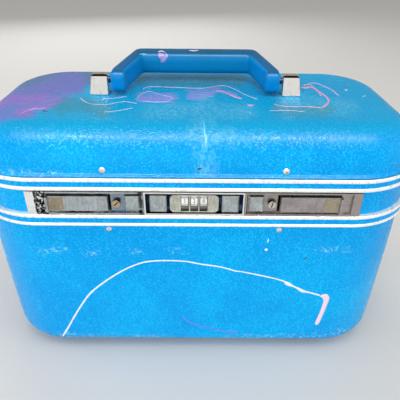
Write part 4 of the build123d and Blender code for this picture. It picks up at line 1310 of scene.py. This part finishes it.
def dress_cad_nodes():
    set_material("base_band base_stripe lid_stripe", vinyl_material("vinyl_azure_strips", False))
    set_material("base_bead_lower base_bead_upper lid_bead_lower lid_bead_upper", trim_material())
    aluminium = metal_material("rail_aluminium", (0.66, 0.67, 0.68), 0.34)
    set_material("base_rim lid_rim bracket_plates", aluminium)
    set_material("base_rivets lid_rivets hinge_base_rivets hinge_lid_rivets", rivet_material())
    dress_latches_and_lock()
    set_material(STEEL_NODES, metal_material("zinc_steel", (0.55, 0.55, 0.54), 0.32))
    # painted shade: the pins are near black, so the gaps between hubs and lugs read as shadow
    set_material("handle_pins", metal_material("pin_painted_shade", (0.05, 0.05, 0.055), 0.3))
    nickel = metal_material("hinge_nickel", (0.70, 0.69, 0.66), 0.24)
    set_material("hinge_base_leaves hinge_lid_leaves", nickel)
    set_material("tray tray_handle tray_rests", rubbed_plastic("tray_blue", (0.23, 0.46, 0.66), 0.42))
    set_material("mirror_frame", rubbed_plastic("mirror_frame_blue", (0.30, 0.50, 0.66), 0.36))
    set_material("mirror_glass", mirror_material())
    set_material("base_feet", rubbed_plastic("foot_black", (0.03, 0.03, 0.035), 0.5))


# Stage and light


def floor_material():
    """A pale surface that keeps the object's shadow, and shows pale in metal and glass."""
    f = Finish("floor_pale", (0.66, 0.65, 0.63), 0.9, Specular_IOR_Level=0.1)
    f.uneven(3.0, 2.0, 0.85, 0.90)
    return f.material


FLOOR_HALF = 6.0


def stage():
    floor = bpy.data.meshes.new("studio_floor")
    corners = [(x * FLOOR_HALF, y * FLOOR_HALF, 0) for x, y in ((-1, -1), (1, -1), (1, 1), (-1, 1))]
    floor.from_pydata(corners, [], [(0, 1, 2, 3)])
    floor.materials.append(floor_material())
    piece = bpy.data.objects.new("studio_floor", floor)
    bpy.context.scene.collection.objects.link(piece)


# The world's light, and its walls in front of the case and behind it
DAYLIGHT = (1.0, 0.985, 0.965, 1)
WALL_BEFORE = (0.82, 0.81, 0.79, 1)
WALL_BEHIND = (0.33, 0.30, 0.25, 1)


def studio_world():
    """Even light for the surfaces, and pale walls where the world is seen, in metal or glass too."""
    world = bpy.data.worlds.new("studio_world")
    bpy.context.scene.world = world
    world.use_nodes = True
    tree = world.node_tree

    def add(kind, inputs, **values):
        node = tree.nodes.new(kind)
        for key, value in values.items():
            setattr(node, key, value)
        for socket, value in inputs.items():
            if isinstance(value, bpy.types.NodeSocket):
                tree.links.new(value, node.inputs[socket])
            else:
                node.inputs[socket].default_value = value
        return node

    light = tree.nodes["Background"]
    light.inputs["Color"].default_value = DAYLIGHT
    light.inputs["Strength"].default_value = 0.55
    direction = add("ShaderNodeSeparateXYZ", {0: add("ShaderNodeTexCoord", {}).outputs["Generated"]})
    turn = add("ShaderNodeMapRange", {"Value": direction.outputs["Y"], "From Min": -0.35, "From Max": 0.55})
    walls = add("ShaderNodeMix", {"Factor": turn.outputs["Result"], 6: WALL_BEFORE, 7: WALL_BEHIND},
                data_type="RGBA")
    shown = add("ShaderNodeBackground", {"Color": walls.outputs[2], "Strength": 1.0})
    paths = add("ShaderNodeLightPath", {})
    seen = paths.outputs["Is Camera Ray"]
    for name in ("Is Glossy Ray", "Is Transmission Ray"):
        seen = add("ShaderNodeMath", {0: seen, 1: paths.outputs[name]}, operation="MAXIMUM").outputs[0]
    both = add("ShaderNodeMixShader", {0: seen, 1: light.outputs[0], 2: shown.outputs[0]})
    tree.links.new(both.outputs[0], tree.nodes["World Output"].inputs["Surface"])


# Lamps: place, aim, size, watts and colour. Only the strip shows in gloss and metal, and only there.
LAMPS = {
    "top_strip": ((0, -0.3075, 1.184), (0, -0.08, 0.21), (1.5, 0.05), 36.0, (1, 1, 1)),
    "top_soft": ((0, -0.25, 1.15), (0, 0, 0.2), (1.1, 0.5), 3.0, (1.0, 0.98, 0.95)),
    "front_soft": ((-0.4, -1.55, 0.5), (0, 0, 0.12), (1.2, 0.9), 16.0, (1, 1, 1)),
    "side_soft": ((1.4, -0.2, 0.7), (0, 0, 0.1), (0.8, 0.8), 5.0, (1, 1, 1)),
    "other_side_soft": ((-1.5, 0.2, 0.7), (0, 0, 0.1), (0.8, 0.8), 4.0, (1, 1, 1)),
    "back_soft": ((-0.4, 1.5, 0.8), (0, 0, 0.1), (1.2, 0.8), 8.0, (1, 1, 1)),
}


def lights():
    for name, (place, aim, size, watts, color) in LAMPS.items():
        data = bpy.data.lights.new(name, "AREA")
        data.shape = "RECTANGLE"
        data.size, data.size_y = size
        data.energy = watts
        data.color = color
        lamp = bpy.data.objects.new(name, data)
        lamp.location = place
        lamp.rotation_euler = (Vector(aim) - Vector(place)).to_track_quat("-Z", "Y").to_euler()
        bpy.context.scene.collection.objects.link(lamp)
        if name == "top_strip":
            lamp.visible_diffuse = False
        else:
            lamp.visible_glossy = False


def paint_strokes(base, lid, handle):
    paints = {name: paint_material(f"paint_{name}", *film) for name, film in PAINT_COLORS.items()}
    for strokes, piece, body, slot in ((BASE_STROKES, base, "base", "shell_vinyl"),
                                       (LID_STROKES, lid, "lid", "shell_vinyl"),
                                       (HANDLE_STROKES, handle, "handle", "handle_plastic")):
        surface = surface_of(piece)
        for name, (paint, path) in strokes.items():
            stroke(f"mark_{name}", path, surface, paints[paint], body)


CREASE = 0.9 * MM


def shells():
    # painted shade lines just under the base's lower bead and just over the lid's upper bead
    creases = [(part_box("base_bead_lower")[0].z - CREASE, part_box("base_bead_lower")[0].z),
               (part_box("lid_bead_upper")[1].z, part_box("lid_bead_upper")[1].z + CREASE)]
    vinyl = vinyl_material("vinyl_azure", True, creases)
    base = add_piece("base_shell_moulded", base_shell(), vinyl, "base", ("base_shell",))
    lid = add_piece("lid_shell_moulded", lid_shell(), vinyl, "lid", ("lid_shell",))
    paint_smears(base, [(FLOOR_Z, FLOOR_Z + 9 * MM)])
    paint_smears(lid)
    return base, lid


def grips_and_dials():
    for word in ("left", "right"):
        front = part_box(f"slider_grip_{word}")[0].y
        valleys = ((0.10, 0.085, 0.06), 0.85, 0.1 * MM, [("Y", front + 0.28 * MM, front + 2 * MM)])
        knurl = metal_material(f"knurl_{word}", (0.56, 0.50, 0.38), 0.42, 600.0, (0.10, 0.08, 0.05), 0.5,
                               [valleys])
        add_piece(f"grip_{word}_knurled", knurled_grip(word), knurl, f"latch_{word}",
                  (f"slider_grip_{word}",), smooth=False)
    # painted shade: the number fields darken on the dial's lower half
    lower_half_shade = ((0.10, 0.085, 0.07), 0.94, 0.3 * MM, [("Z", LOCK_Z - 9 * MM, LOCK_Z - 0.6 * MM)])
    white = rubbed_plastic("dial_white", (0.80, 0.80, 0.78), 0.4, [lower_half_shade])
    ink = rubbed_plastic("dial_ink", (0.13, 0.13, 0.15), 0.5)
    for number in (1, 2, 3):
        dial_marks(number, white, ink)


def linings():
    satin = cloth_material("lining_satin", (0.25, 0.47, 0.66), (0.15, 0.34, 0.55))
    lining = add_piece("base_lining_cloth", base_lining_mesh(), satin, "base", ("base_lining",))
    gathered = add_piece("lid_lining_gathered", lid_lining_mesh(), satin, "lid", ("lid_lining",))
    pocket = add_piece("base_pocket_gathered", pocket_mesh(), satin, "base", ("base_pocket",))


def handle_and_brackets():
    handle = add_piece("handle_moulded", handle_mesh(), handle_material(), "handle",
                       ("handle",))
    lug_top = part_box("handle_brackets")[1].z
    # painted shade: a black line along the lugs' top front edge
    top_edge_shade = ((0.0, 0.0, 0.0), 1.0, 0.2 * MM, [("Z", lug_top - 1.3 * MM, 1.0), ("Y", -1.0, -3.4 * MM)])
    chrome = metal_material("bracket_chrome", (0.90, 0.90, 0.88), 0.16, 500.0, (0.62, 0.34, 0.52), 0.75,
                            [top_edge_shade])
    lugs = joined([(bracket_mesh(side), Matrix()) for side in (-1, 1)], "brackets_moulded")
    add_piece("handle_brackets_moulded", lugs, chrome, "lid", ("handle_brackets",))
    return handle


def main():
    make_camera()
    stage()
    studio_world()
    lights()
    dress_cad_nodes()
    base, lid = shells()
    grips_and_dials()
    linings()
    paint_strokes(base, lid, handle_and_brackets())
    bpy.context.scene.view_settings.view_transform = "Standard"


main()
